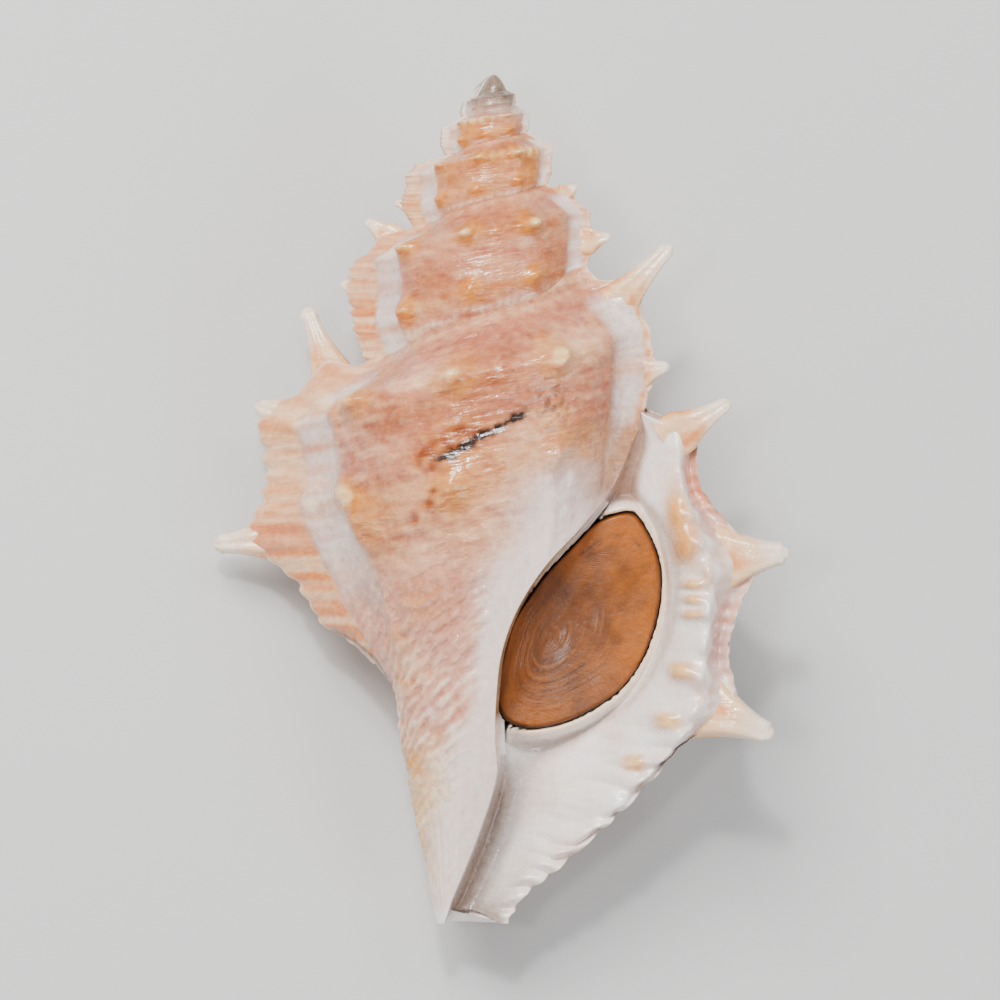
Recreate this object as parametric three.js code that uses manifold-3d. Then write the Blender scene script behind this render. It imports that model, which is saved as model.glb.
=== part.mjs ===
// Frog shell with its operculum in the aperture, lying on its back.
//
// Units are millimetres. The shell is worked out in its own frame: x to the right of the coiling axis, h down
// that axis from the apex, z out of the aperture. A growth angle t counts turns back from the outer lip.
// In the finished group +Y runs towards the apex and +Z out of the aperture, and the back rests on z 0.

import * as THREE from "three";
import { mergeVertices } from "three/addons/utils/BufferGeometryUtils.js";
import Module from "manifold-3d";

const wasm = await Module();
wasm.setup();

// Driving dimensions of the coil
const CANAL_END = 75.2;
const WHORLS = 5.5;
const LIP_AZIMUTH = THREE.MathUtils.degToRad(14);
const SUTURE_AT_LIP = 34.9;
const SUTURE_GROWTH = 1.87;
const LIP_CLIMB = 5.2;
const EARLIER_CLIMB = 1.4;
const CLIMB_TURNS = 0.08;
const BEYOND_LIP_TURNS = 0.32;
const RADIUS_AT_LIP = 19;
const RADIUS_GROWTH = 1.62;
const FLATNESS = 0.85;
const BASE_START = 0.62;
const JOIN_SHARE = 0.3;

// Radius of a whorl over its shoulder radius, from its suture (0) to the next one (1)
const WHORL_PROFILE = [
  [-0.3, 0.4], [0, 0.574], [0.1, 0.7], [0.2, 0.87], [0.27, 0.99], [0.34, 1.0], [0.45, 0.985],
  [0.6, 0.975], [0.77, 0.99], [0.88, 0.955], [1, 0.91], [1.2, 0.8],
];

// Depth and radius of the siphonal canal's outer wall, and its bend to the left
const CANAL_RADIUS = [[28, 12.2], [40, 10.3], [48, 9.1], [54.5, 8.1], [60, 6.7], [68, 4.1], [75.2, 1.8]];
const CANAL_BEND = [[40, 0], [48, 0], [54.5, -0.6], [60, -1.3], [68, -2.4], [75.5, -3.3]];

// Depth and radius of the outer lip's edge
const LIP_EDGE = [
  [29.7, 14.0], [33, 17.6], [36.7, 18.7], [40.4, 20.7], [44.4, 22.1], [47.6, 21.7], [51, 21.2],
  [54.5, 21.2], [58.7, 18.2], [62.8, 15.7], [66.6, 12.3], [70.1, 8.8], [73, 5.6], [75.2, 4.6],
];
const LIP_FLARE_TURNS = 0.075;

// Height of an earlier varix over its whorl, from its suture (0) to the end of its canal
const VARIX_HEIGHT = [
  [0, 6.5], [0.1, 7.0], [0.2, 6.2], [0.38, 5.8], [0.57, 6.2], [0.83, 5.4], [1.04, 4.9], [1.13, 3.0],
  [1.23, 1.2], [1.34, 0], [1.6, 0], [3, 0],
];
const LEFT_VARIX = 1.05;
const RIGHT_VARIX = 0.5;
const VARIX_RISE_TURNS = 0.032;
const VARIX_FALL_TURNS = 0.013;

// Nodules: two spiral rows, and three places in each half whorl
const NODULE_ROWS = [
  { at: 0.27, height: 0.1, width: 0.08 },
  { at: 0.77, height: 0.065, width: 0.09 },
];
const NODULE_TURNS = [50 / 360, 92 / 360, 136 / 360];

// The shell's face round the aperture: x, depth h and z of lines that run from the aperture's upper corner to
// the end of the canal. The columella's edge lies on the whorl, so it needs no z.
const COLUMELLA_EDGE = [
  [29.7, 12.8], [33, 12.0], [36.7, 10.4], [40.2, 7.6], [43.5, 4.5], [47.2, 2.1], [51, 0.7], [54.9, 0.2],
  [58.7, 0.1], [62, 0.2], [66.4, -1.1], [70.1, -2.5], [73, -3.7], [75.2, -4.4],
];
const PIT_LEFT = [
  [12.8, 30.1, 3.6], [12.2, 33.1, 2.0], [10.9, 36.9, 0.5], [8.4, 40.4, -2.5], [5.4, 44.0, -6.5],
  [3.2, 47.6, -8.5], [1.8, 51.4, -7.5], [1.2, 55.4, -4.5], [1.0, 58.7, -1.5], [1.0, 62.2, -1.2],
  [-0.2, 66.6, -1.3], [-1.6, 70.3, -1.3], [-2.8, 73.1, -1.0], [-3.6, 74.3, -0.8],
];
const PIT_RIGHT = [
  [12.8, 30.1, 3.6], [12.8, 33.1, 1.8], [12.0, 37.1, 0.0], [13.3, 40.6, -3.5], [14.2, 44.0, -7.0],
  [14.2, 47.6, -8.5], [13.0, 51.2, -7.0], [10.9, 54.0, -4.0], [5.8, 57.8, -1.2], [2.5, 62.4, -1.3],
  [1.1, 66.8, -1.5], [-0.4, 70.5, -1.5], [-1.7, 73.2, -1.2], [-2.3, 74.1, -1.0],
];
const PIT_RIM = [
  [12.8, 30.1, 3.6], [13.4, 33.0, 3.0], [12.8, 37.1, 2.6], [14.3, 40.3, 2.8], [15.2, 44.0, 3.0],
  [15.2, 47.6, 3.0], [14.2, 51.4, 2.6], [12.1, 54.9, 1.8], [8.0, 58.7, 0.6], [4.0, 62.6, -0.3],
  [2.5, 66.8, -0.6], [1.0, 70.5, -0.6], [-0.5, 73.2, -0.4], [-0.8, 74.5, -0.4],
];
const TOOTH_RIDGE = [
  [12.8, 30.1, 3.6], [15.3, 32.5, 4.4], [16.5, 36.9, 5.4], [17.5, 40.4, 6.0], [18.4, 44.1, 6.4],
  [18.6, 47.9, 6.4], [18.2, 51.4, 6.2], [17.4, 54.9, 5.8], [15.6, 59.3, 5.0], [12.0, 63.3, 3.8],
  [7.6, 67.5, 2.6], [3.6, 70.3, 1.6], [1.2, 73.0, 1.0], [0.5, 75.2, 0.8],
];
const TROUGH_DEPTH = 1.0;
const CANAL_STATION = 9;

// Blunt spines on the varices: foot, tip, and the radii of both
const SPINES = [
  { foot: [16.6, 31.8, 3.2], tip: [20.7, 29.2, 4.2], wide: 2.0, fine: 0.65 },
  { foot: [20.4, 43.0, 3.2], tip: [25.9, 42.4, 4.4], wide: 3.0, fine: 0.6 },
  { foot: [18.8, 56.0, 2.8], tip: [24.5, 58.5, 4.0], wide: 3.0, fine: 0.75 },
  { foot: [-14.6, 26.4, -4.1], tip: [-16.8, 20.6, -5.0], wide: 1.9, fine: 0.75 },
  { foot: [-17.8, 30.5, -4.2], tip: [-21.4, 29.4, -4.8], wide: 2.2, fine: 0.6 },
  { foot: [-18.4, 41.2, -4.2], tip: [-25.1, 41.8, -5.2], wide: 2.5, fine: 0.65 },
  { foot: [10.8, 20.6, 2.4], tip: [15.6, 15.4, 3.2], wide: 2.0, fine: 0.5 },
  { foot: [13.0, 26.6, 2.8], tip: [15.4, 26.0, 3.2], wide: 1.6, fine: 0.5 },
  { foot: [-9.6, 14.2, -2.5], tip: [-11.4, 12.9, -2.9], wide: 1.3, fine: 0.4 },
  { foot: [-12.0, 19.1, -2.9], tip: [-13.7, 18.5, -3.2], wide: 1.3, fine: 0.4 },
  { foot: [8.6, 14.9, 2.0], tip: [10.3, 14.6, 2.3], wide: 1.2, fine: 0.4 },
  { foot: [6.4, 10.8, 1.4], tip: [7.3, 10.1, 1.6], wide: 1.0, fine: 0.35 },
  { foot: [-5.2, 9.1, -1.5], tip: [-6.5, 8.2, -1.8], wide: 0.8, fine: 0.3 },
  { foot: [-7.2, 12.0, -1.9], tip: [-8.8, 11.3, -2.2], wide: 0.9, fine: 0.35 },
];
const SPINE_SIDES = 8;
const SPINE_FLATNESS = 0.75;
const SPINE_ROOT = 2;
const SPINE_PROFILE = [[0.95, 0], [0.7, 0.14], [0.48, 0.36], [0.31, 0.62]];

// Operculum: outline as x and depth h, thickness, and the level of its underside
const OPERCULUM_OUTLINE = [
  [12.0, 38.9], [13.5, 40.6], [14.5, 43.1], [14.7, 45.7], [14.2, 48.8], [13.0, 51.9], [11.1, 54.5],
  [8.4, 56.4], [5.8, 57.5], [3.2, 57.9], [1.2, 57.3], [0.4, 55.8], [0.4, 53.6], [1.0, 51.0], [1.8, 48.5],
  [3.2, 46.3], [4.9, 44.1], [7.1, 41.8], [9.3, 39.7],
];
const OPERCULUM_THICKNESS = 1.1;
const OPERCULUM_LEVEL = 0.9;
const OPERCULUM_GAP = 0.35;

// Steps of the surface: degrees after each varix, places down a whorl, and steps down the base
const COLUMN_DEGREES = [0, 3, 9, 22, 36, 50, 64, 78, 92, 107, 121, 136, 150, 161, 170, 176];
const WHORL_ROWS = [0, 0.06, 0.13, 0.2, 0.27, 0.34, 0.45, 0.57, 0.68, 0.77, 0.85, 0.93, 1];
const BASE_ROWS = 14;

// Resting place: the direction in the shell's own frame that points down, and the shift once it is turned,
// which also wears a small flat on the back where it meets the ground
const REST_DOWN = new THREE.Vector3(-0.154, -0.089, -0.984).normalize();
const REST_TURN = new THREE.Quaternion().setFromUnitVectors(REST_DOWN, new THREE.Vector3(0, 0, -1));
const REST_SHIFT = [-0.75, 37.57, 17.01];

const { clamp, lerp, smoothstep } = THREE.MathUtils;

// Smooth curve through the rows [x, a, b, ...] of a table, at x, as [a, b, ...]
function through(table, x) {
  const last = table.length - 1;
  let i = 0;
  while (i < last - 1 && x > table[i + 1][0]) i++;
  const slope = (k, c) => {
    const before = table[Math.max(k - 1, 0)];
    const after = table[Math.min(k + 1, last)];
    return (after[c] - before[c]) / (after[0] - before[0]);
  };
  const [from, to] = [table[i], table[i + 1]];
  const width = to[0] - from[0];
  const u = clamp((x - from[0]) / width, 0, 1);
  return from.slice(1).map((a, k) => {
    const b = to[k + 1];
    const rise = slope(i, k + 1) * width;
    const fall = slope(i + 1, k + 1) * width;
    return a + u * (rise + u * (3 * (b - a) - 2 * rise - fall + u * (2 * (a - b) + rise + fall)));
  });
}

const at = (table, x) => through(table, x)[0];
const bump = (x, width) => Math.exp(-((x / width) ** 2));

const azimuth = (t) => LIP_AZIMUTH + 2 * Math.PI * t;
const shoulder = (t) => RADIUS_AT_LIP * RADIUS_GROWTH ** t;
const evenSuture = (t) => SUTURE_AT_LIP * SUTURE_GROWTH ** t;

// Depth of the suture, which climbs a little behind each lip on the right
function suture(t) {
  const turns = t > 0 ? BEYOND_LIP_TURNS : CLIMB_TURNS;
  return evenSuture(t) - LIP_CLIMB * bump(t, turns) - EARLIER_CLIMB * bump(t + 1, CLIMB_TURNS);
}

// Place across a whorl: 0 at its suture and 1 at the next
function across(t, h) {
  return (h - evenSuture(t)) / (evenSuture(t + 1) - evenSuture(t));
}

// Radius of the last whorl's base, from its periphery in to the canal
function baseRadius(t, h) {
  const start = lerp(evenSuture(t), evenSuture(t + 1), BASE_START);
  const end = lerp(56, 67, smoothstep(t, -0.5, 0));
  const periphery = shoulder(t) * at(WHORL_PROFILE, BASE_START);
  const inner = at(CANAL_RADIUS, Math.max(h, start));
  return inner + (periphery - at(CANAL_RADIUS, start)) * (1 - smoothstep(h, start, end));
}

function whorlRadius(t, h) {
  const x = across(t, h);
  const coiled = shoulder(t) * at(WHORL_PROFILE, clamp(x, -0.3, 1.2));
  if (x < BASE_START || t < -1.15) return coiled;
  return lerp(coiled, baseRadius(t, h), smoothstep(t, -1.15, -0.98));
}

// Rise of the varices: gradual on the side of earlier growth, steep on the other
function varixHeight(t, h) {
  let height = 0;
  for (let k = 1; k <= 2 * WHORLS; k++) {
    const after = t + k / 2;
    const turns = after < 0 ? VARIX_RISE_TURNS : VARIX_FALL_TURNS;
    const size = (k % 2 ? LEFT_VARIX : RIGHT_VARIX) * RADIUS_GROWTH ** ((1 - k) / 2);
    const shape = Math.exp(-((Math.abs(after) / turns) ** 1.3));
    height += size * shape * at(VARIX_HEIGHT, clamp(across(-k / 2, h), 0, 3));
  }
  return height;
}

function noduleHeight(t, h) {
  const size = shoulder(t);
  const x = across(t, h);
  const turn = t - Math.floor(2 * t) / 2;
  let height = 0;
  for (const row of NODULE_ROWS) {
    const down = bump(x - row.at, row.width);
    for (const place of NODULE_TURNS) height += row.height * size * down * bump(turn - place, 0.02);
  }
  return height;
}

// Radius at growth angle t and depth h, as if there were no whorl before
function freeRadius(t, h) {
  const own = whorlRadius(t, h) + varixHeight(t, h) + noduleHeight(t, h);
  const lip = Math.exp(-((Math.abs(t) / LIP_FLARE_TURNS) ** 1.3));
  return own + lip * (at(LIP_EDGE, h) - own);
}

// Radius of the shell, drawn in or out near its suture to meet the whorl before
function radius(t, h) {
  const free = freeRadius(t, h);
  const top = suture(t);
  const fade = (h - top) / (JOIN_SHARE * (evenSuture(t + 1) - evenSuture(t)));
  if (fade >= 1 || t - 1 < -WHORLS) return free;
  return free + (radius(t - 1, top) - freeRadius(t, top)) * (1 - clamp(fade, 0, 1)) ** 2;
}

// Point of the shell's surface at growth angle t and depth h
function surfacePoint(t, h) {
  const r = radius(t, h);
  const a = azimuth(t);
  return [at(CANAL_BEND, h) + r * Math.cos(a), h, FLATNESS * r * Math.sin(a)];
}

// Growth angle at which the last whorl's first column lies on the columella's edge
function columellaTurn(h) {
  let turn = -0.9;
  for (let i = 0; i < 12; i++) {
    const reach = (at(COLUMELLA_EDGE, h) - at(CANAL_BEND, h)) / radius(turn, h);
    turn = lerp(turn, -1 + (Math.acos(clamp(reach, -1, 1)) - LIP_AZIMUTH) / (2 * Math.PI), 0.6);
  }
  return lerp(-1, Math.max(turn, -1), smoothstep(h, suture(0), suture(0) + 4));
}

// Point at column t and row v: 0 to 1 across the whorl, and 1 to 2 down the last whorl's base
function stripPoint(t, v) {
  const next = suture(t + 1);
  if (v <= 1) return surfacePoint(t, lerp(suture(t), next, v));
  const h = lerp(next, CANAL_END, v - 1);
  if (t > -0.5) return surfacePoint(t, h);
  const first = columellaTurn(lerp(suture(0), CANAL_END, v - 1));
  return surfacePoint(lerp(first, -0.5, (t + 1) * 2), h);
}

// Triangles between two chains of vertices, taking the shorter diagonal each time
function zip(left, right, points, triangles) {
  const gap = (a, b) => Math.hypot(...points[a].map((value, k) => value - points[b][k]));
  let [i, j] = [0, 0];
  while (i < left.length - 1 || j < right.length - 1) {
    const leftMore = i < left.length - 1;
    const rightMore = j < right.length - 1;
    const goLeft = !rightMore || (leftMore && gap(left[i + 1], right[j]) < gap(left[i], right[j + 1]));
    const next = goLeft ? left[i + 1] : right[j + 1];
    const open = left[i] !== right[j] && next !== left[i] && next !== right[j];
    if (open) triangles.push([left[i], right[j], next]);
    goLeft ? i++ : j++;
  }
}

// The shell's closed surface
function shellSurface() {
  const points = [];
  const triangles = [];
  const addPoint = (point) => points.push(point) - 1;
  const gap = (a, b) => Math.hypot(...points[a].map((value, k) => value - points[b][k]));
  const addTriangle = (a, b, c) => {
    if (a !== b && b !== c && a !== c) triangles.push([a, b, c]);
  };
  const quad = (a, b, c, d) => {
    const other = gap(b, d) < 0.8 * gap(a, c);
    addTriangle(a, b, other ? d : c);
    addTriangle(other ? b : a, c, d);
  };

  const turns = [];
  for (let half = -2 * WHORLS; half < 0; half++)
    for (const degrees of COLUMN_DEGREES) turns.push(half / 2 + degrees / 360);
  turns.push(0);
  const perTurn = 2 * COLUMN_DEGREES.length;
  const lastColumn = turns.length - 1;
  const firstOfLast = lastColumn - perTurn;
  const whorlEnd = WHORL_ROWS.length - 1;
  const baseEnd = whorlEnd + BASE_ROWS;

  const columns = turns.map(() => []);
  turns.forEach((t, i) => {
    const rows = i < firstOfLast ? whorlEnd : baseEnd;
    for (let j = 0; j <= rows; j++) {
      const v = j <= whorlEnd ? WHORL_ROWS[j] : 1 + (j - whorlEnd) / BASE_ROWS;
      columns[i][j] = j === 0 && i >= perTurn ? columns[i - perTurn][whorlEnd] : addPoint(stripPoint(t, v));
    }
  });
  for (let i = 0; i < lastColumn; i++) {
    const rows = i < firstOfLast ? whorlEnd : baseEnd;
    const [here, beyond] = [columns[i], columns[i + 1]];
    for (let j = 0; j < rows; j++) quad(here[j], beyond[j], beyond[j + 1], here[j + 1]);
  }

  // Apex: a fan over the first whorl's upper edge and the strip's first column
  const apex = addPoint([0, 0.15, 0]);
  const rim = columns.slice(0, perTurn + 1).map((column) => column[0]);
  rim.push(...columns[0].slice(0, whorlEnd).reverse());
  for (let i = 0; i < rim.length - 1; i++) triangles.push([apex, rim[i + 1], rim[i]]);

  // Face: lines from the aperture's upper corner to the end of the canal
  const lip = columns[lastColumn];
  const stations = LIP_EDGE.map((row, i) => [row[0], i]);
  const numbered = (line) => line.map((row, i) => [i, ...row]);
  const lines = [PIT_LEFT, PIT_RIGHT, PIT_RIM, TOOTH_RIDGE].map(numbered);
  const corner = lip[0];
  const face = lip.map((vertex, j) => {
    if (j === 0) return [corner, corner, corner, corner, corner, corner];
    const [x, h, z] = points[vertex];
    const station = at(stations, h);
    const row = lines.map((line) => through(line, station));
    const ridge = row[row.length - 1];
    const trough = [lerp(ridge[0], x, 0.6), lerp(ridge[1], h, 0.6), lerp(ridge[2], z, 0.6) - TROUGH_DEPTH];
    if (station > CANAL_STATION) trough[2] += TROUGH_DEPTH;
    return [...row, trough].map(addPoint).concat(vertex);
  });
  for (let j = 0; j < face.length - 1; j++) {
    const [above, below] = [face[j], face[j + 1]];
    for (let i = 0; i < above.length - 1; i++) quad(above[i], below[i], below[i + 1], above[i + 1]);
  }

  const edge = columns[firstOfLast].slice(whorlEnd);
  zip(face.map((row) => row[0]), edge, points, triangles);
  const ring = columns.slice(firstOfLast).map((column) => column[baseEnd]);
  const end = face[face.length - 1];
  zip(end, ring, points, triangles);
  return { points, triangles };
}

// Place in the finished group
const place = (x, h, z) => new THREE.Vector3(x, -h, z);

// A manifold solid from a closed three.js geometry
function solid(geometry) {
  const bare = geometry.index ? geometry.toNonIndexed() : geometry.clone();
  for (const name of Object.keys(bare.attributes)) if (name !== "position") bare.deleteAttribute(name);
  const merged = mergeVertices(bare, 1e-4);
  return new wasm.Manifold(
    new wasm.Mesh({
      numProp: 3,
      vertProperties: merged.attributes.position.array,
      triVerts: new Uint32Array(merged.index.array),
    }),
  );
}

function geometryOf(made) {
  const mesh = made.getMesh();
  const geometry = new THREE.BufferGeometry();
  geometry.setAttribute("position", new THREE.BufferAttribute(mesh.vertProperties, 3));
  geometry.setIndex(new THREE.BufferAttribute(mesh.triVerts, 1));
  geometry.computeVertexNormals();
  return geometry;
}

function shellGeometry() {
  const { points, triangles } = shellSurface();
  const geometry = new THREE.BufferGeometry().setFromPoints(points.map((point) => place(...point)));
  geometry.setIndex(triangles.flat());
  return geometry;
}

// A spine: a turned form that flares into the varix at its foot
function spineGeometry({ foot, tip, wide, fine }) {
  const from = place(...foot);
  const along = place(...tip).sub(from);
  const length = along.length();
  const profile = [new THREE.Vector2(0, -SPINE_ROOT), new THREE.Vector2(wide, -SPINE_ROOT)];
  for (const [r, y] of SPINE_PROFILE) profile.push(new THREE.Vector2(r * wide, y * length));
  profile.push(new THREE.Vector2(fine, length - fine), new THREE.Vector2(0.6 * fine, length - 0.2 * fine));
  profile.push(new THREE.Vector2(0, length));
  const geometry = new THREE.LatheGeometry(profile, SPINE_SIDES).scale(1, 1, SPINE_FLATNESS);
  const upright = new THREE.Vector3(0, 1, 0);
  geometry.applyQuaternion(new THREE.Quaternion().setFromUnitVectors(upright, along.normalize()));
  return geometry.translate(from.x, from.y, from.z);
}

// The operculum's plate, or the space it needs when grown is the gap left round it
function operculumGeometry(grown) {
  const outline = new THREE.CatmullRomCurve3(
    OPERCULUM_OUTLINE.map(([x, h]) => place(x, h, 0)),
    true,
  ).getPoints(36);
  const bevel = 0.35;
  const shape = new THREE.Shape(outline.slice(0, -1).map((point) => new THREE.Vector2(point.x, point.y)));
  const geometry = new THREE.ExtrudeGeometry(shape, {
    depth: OPERCULUM_THICKNESS - 2 * bevel + 2 * grown,
    bevelThickness: bevel,
    bevelSize: bevel,
    bevelOffset: grown - bevel,
    bevelSegments: 1,
    steps: 1,
  });
  return geometry.translate(0, 0, OPERCULUM_LEVEL + bevel - grown);
}

const shellMaterial = new THREE.MeshStandardMaterial({ color: 0xe8c9b0, roughness: 0.35 });
const operculumMaterial = new THREE.MeshStandardMaterial({ color: 0x9a5a22, roughness: 0.45 });

// Lays a geometry down on the shell's back and brings it to its place in the group
const laidDown = (geometry) => geometry.applyQuaternion(REST_TURN).translate(...REST_SHIFT);

let shell = solid(laidDown(shellGeometry()));
for (const spine of SPINES) shell = shell.add(solid(laidDown(spineGeometry(spine))));
shell = shell.subtract(solid(laidDown(operculumGeometry(OPERCULUM_GAP))));
shell = shell.subtract(solid(new THREE.BoxGeometry(100, 100, 20).translate(0, 0, -10)));

const shellMesh = new THREE.Mesh(geometryOf(shell), shellMaterial);
shellMesh.name = "shell";
const operculumMesh = new THREE.Mesh(laidDown(operculumGeometry(0)), operculumMaterial);
operculumMesh.name = "operculum";

const frogShell = new THREE.Group();
frogShell.add(shellMesh, operculumMesh);

export default frogShell;
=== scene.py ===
"""Frog shell with its operculum, lying on its back on a pale floor.

Lengths are millimetres until the meshes are built. The shell is worked out in its own frame: x to the
right of the coiling axis, h down that axis from the apex, z out of the aperture. The growth angle t
counts turns along the coil: 0 at the outer lip, and less than 0 on what grew before it.
"""

import math
from types import SimpleNamespace

import bpy
import numpy as np
from mathutils import Matrix, Vector


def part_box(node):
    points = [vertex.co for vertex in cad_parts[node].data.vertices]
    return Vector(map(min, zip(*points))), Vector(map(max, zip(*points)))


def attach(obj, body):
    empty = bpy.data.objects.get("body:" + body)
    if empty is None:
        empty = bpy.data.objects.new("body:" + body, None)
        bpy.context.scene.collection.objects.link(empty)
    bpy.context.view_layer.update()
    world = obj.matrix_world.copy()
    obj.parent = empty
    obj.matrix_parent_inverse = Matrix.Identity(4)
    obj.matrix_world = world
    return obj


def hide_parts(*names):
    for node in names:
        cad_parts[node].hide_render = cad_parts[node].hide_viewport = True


# Driving dimensions of the coil
CANAL_END = 75.2
WHORLS = 5.5
LIP_AZIMUTH = math.radians(14)
SUTURE_AT_LIP = 34.9
SUTURE_GROWTH = 1.87
LIP_CLIMB = 5.2
EARLIER_CLIMB = 1.4
CLIMB_TURNS = 0.08
BEYOND_LIP_TURNS = 0.32
RADIUS_AT_LIP = 19
RADIUS_GROWTH = 1.62
FLATNESS = 0.85
BASE_START = 0.62
JOIN_SHARE = 0.3

# Radius of a whorl over its shoulder radius, from its suture (0) to the next one (1)
WHORL_PROFILE = [
    [-0.3, 0.4], [0, 0.574], [0.1, 0.7], [0.2, 0.87], [0.27, 0.99], [0.34, 1.0], [0.45, 0.985],
    [0.6, 0.975], [0.77, 0.99], [0.88, 0.955], [1, 0.91], [1.2, 0.8],
]

# Depth and radius of the siphonal canal's outer wall, and its bend to the left
CANAL_RADIUS = [[28, 12.2], [40, 10.3], [48, 9.1], [54.5, 8.1], [60, 6.7], [68, 4.1], [75.2, 1.8]]
CANAL_BEND = [[40, 0], [48, 0], [54.5, -0.6], [60, -1.3], [68, -2.4], [75.5, -3.3]]

# Depth and radius of the outer lip's edge
LIP_EDGE = [
    [29.7, 14.0], [33, 17.6], [36.7, 18.7], [40.4, 20.7], [44.4, 22.1], [47.6, 21.7], [51, 21.2],
    [54.5, 21.2], [58.7, 18.2], [62.8, 15.7], [66.6, 12.3], [70.1, 8.8], [73, 5.6], [75.2, 4.6],
]
LIP_FLARE_TURNS = 0.075

# Height of an earlier varix over its whorl, from its suture (0) to the end of its canal
VARIX_HEIGHT = [
    [0, 6.5], [0.1, 7.0], [0.2, 6.2], [0.38, 5.8], [0.57, 6.2], [0.83, 5.4], [1.04, 4.9], [1.13, 3.0],
    [1.23, 1.2], [1.34, 0], [1.6, 0], [3, 0],
]
LEFT_VARIX = 1.05
RIGHT_VARIX = 0.5
VARIX_RISE_TURNS = 0.032
VARIX_FALL_TURNS = 0.013

# Nodules: two spiral rows, and three places in each half whorl
NODULE_ROWS = [(0.27, 0.1, 0.08), (0.77, 0.065, 0.09)]
NODULE_TURNS = [50 / 360, 92 / 360, 136 / 360]

# The shell's face round the aperture: x, depth h and z of lines that run from the aperture's upper
# corner to the end of the canal. The columella's edge lies on the whorl, so it needs no z.
COLUMELLA_EDGE = [
    [29.7, 12.8], [33, 12.0], [36.7, 10.4], [40.2, 7.6], [43.5, 4.5], [47.2, 2.1], [51, 0.7], [54.9, 0.2],
    [58.7, 0.1], [62, 0.2], [66.4, -1.1], [70.1, -2.5], [73, -3.7], [75.2, -4.4],
]
PIT_LEFT = [
    [12.8, 30.1, 3.6], [12.2, 33.1, 2.0], [10.9, 36.9, 0.5], [8.4, 40.4, -2.5], [5.4, 44.0, -6.5],
    [3.2, 47.6, -8.5], [1.8, 51.4, -7.5], [1.2, 55.4, -4.5], [1.0, 58.7, -1.5], [1.0, 62.2, -1.2],
    [-0.2, 66.6, -1.3], [-1.6, 70.3, -1.3], [-2.8, 73.1, -1.0], [-3.6, 74.3, -0.8],
]
PIT_RIGHT = [
    [12.8, 30.1, 3.6], [12.8, 33.1, 1.8], [12.0, 37.1, 0.0], [13.3, 40.6, -3.5], [14.2, 44.0, -7.0],
    [14.2, 47.6, -8.5], [13.0, 51.2, -7.0], [10.9, 54.0, -4.0], [5.8, 57.8, -1.2], [2.5, 62.4, -1.3],
    [1.1, 66.8, -1.5], [-0.4, 70.5, -1.5], [-1.7, 73.2, -1.2], [-2.3, 74.1, -1.0],
]
PIT_RIM = [
    [12.8, 30.1, 3.6], [13.4, 33.0, 3.0], [12.8, 37.1, 2.6], [14.3, 40.3, 2.8], [15.2, 44.0, 3.0],
    [15.2, 47.6, 3.0], [14.2, 51.4, 2.6], [12.1, 54.9, 1.8], [8.0, 58.7, 0.6], [4.0, 62.6, -0.3],
    [2.5, 66.8, -0.6], [1.0, 70.5, -0.6], [-0.5, 73.2, -0.4], [-0.8, 74.5, -0.4],
]
TOOTH_RIDGE = [
    [12.8, 30.1, 3.6], [15.3, 32.5, 4.4], [16.5, 36.9, 5.4], [17.5, 40.4, 6.0], [18.4, 44.1, 6.4],
    [18.6, 47.9, 6.4], [18.2, 51.4, 6.2], [17.4, 54.9, 5.8], [15.6, 59.3, 5.0], [12.0, 63.3, 3.8],
    [7.6, 67.5, 2.6], [3.6, 70.3, 1.6], [1.2, 73.0, 1.0], [0.5, 75.2, 0.8],
]
TROUGH_DEPTH = 1.3
CANAL_STATION = 9

# Teeth inside the outer lip: x, h, half length along the lip, half width, height
TEETH = [
    [15.9, 38.9, 1.5, 0.8, 0.5], [16.6, 41.6, 1.7, 1.0, 0.7], [17.2, 45.2, 0.45, 0.9, 0.6],
    [17.3, 46.5, 0.45, 0.9, 0.6], [17.3, 47.8, 0.45, 0.9, 0.6], [16.3, 52.7, 0.8, 1.1, 0.75],
    [15.0, 57.1, 0.8, 1.1, 0.7], [12.3, 60.9, 0.8, 1.0, 0.5],
]

# Blunt spines on the varices: foot, tip, and the radii of both
SPINES = [
    ([16.6, 31.8, 3.2], [20.7, 29.2, 4.2], 2.0, 0.65),
    ([20.4, 43.0, 3.2], [25.9, 42.4, 4.4], 3.0, 0.6),
    ([18.8, 56.0, 2.8], [24.5, 58.5, 4.0], 3.0, 0.75),
    ([-14.6, 26.4, -4.1], [-16.8, 20.6, -5.0], 1.9, 0.75),
    ([-17.8, 30.5, -4.2], [-21.4, 29.4, -4.8], 2.2, 0.6),
    ([-18.4, 41.2, -4.2], [-25.1, 41.8, -5.2], 2.5, 0.65),
    ([10.8, 20.6, 2.4], [15.6, 15.4, 3.2], 2.0, 0.5),
    ([13.0, 26.6, 2.8], [15.4, 26.0, 3.2], 1.6, 0.5),
    ([-9.6, 14.2, -2.5], [-11.4, 12.9, -2.9], 1.3, 0.4),
    ([-12.0, 19.1, -2.9], [-13.7, 18.5, -3.2], 1.3, 0.4),
    ([8.6, 14.9, 2.0], [10.3, 14.6, 2.3], 1.2, 0.4),
    ([6.4, 10.8, 1.4], [7.3, 10.1, 1.6], 1.0, 0.35),
    ([-5.2, 9.1, -1.5], [-6.5, 8.2, -1.8], 0.8, 0.3),
    ([-7.2, 12.0, -1.9], [-8.8, 11.3, -2.2], 0.9, 0.35),
]
SPINE_FLATNESS = [[-0.4, 0.25], [0, 0.35], [0.3, 0.55], [0.6, 0.85], [1, 0.9]]
SPINE_ROOT = 2.0
SPINE_PROFILE = [[-0.4, 1.0], [0, 0.95], [0.14, 0.8], [0.36, 0.6], [0.62, 0.42], [0.8, 0.34]]
LIP_SPINES = 3
LIP_SPINE_LIFT = 1.0

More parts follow.
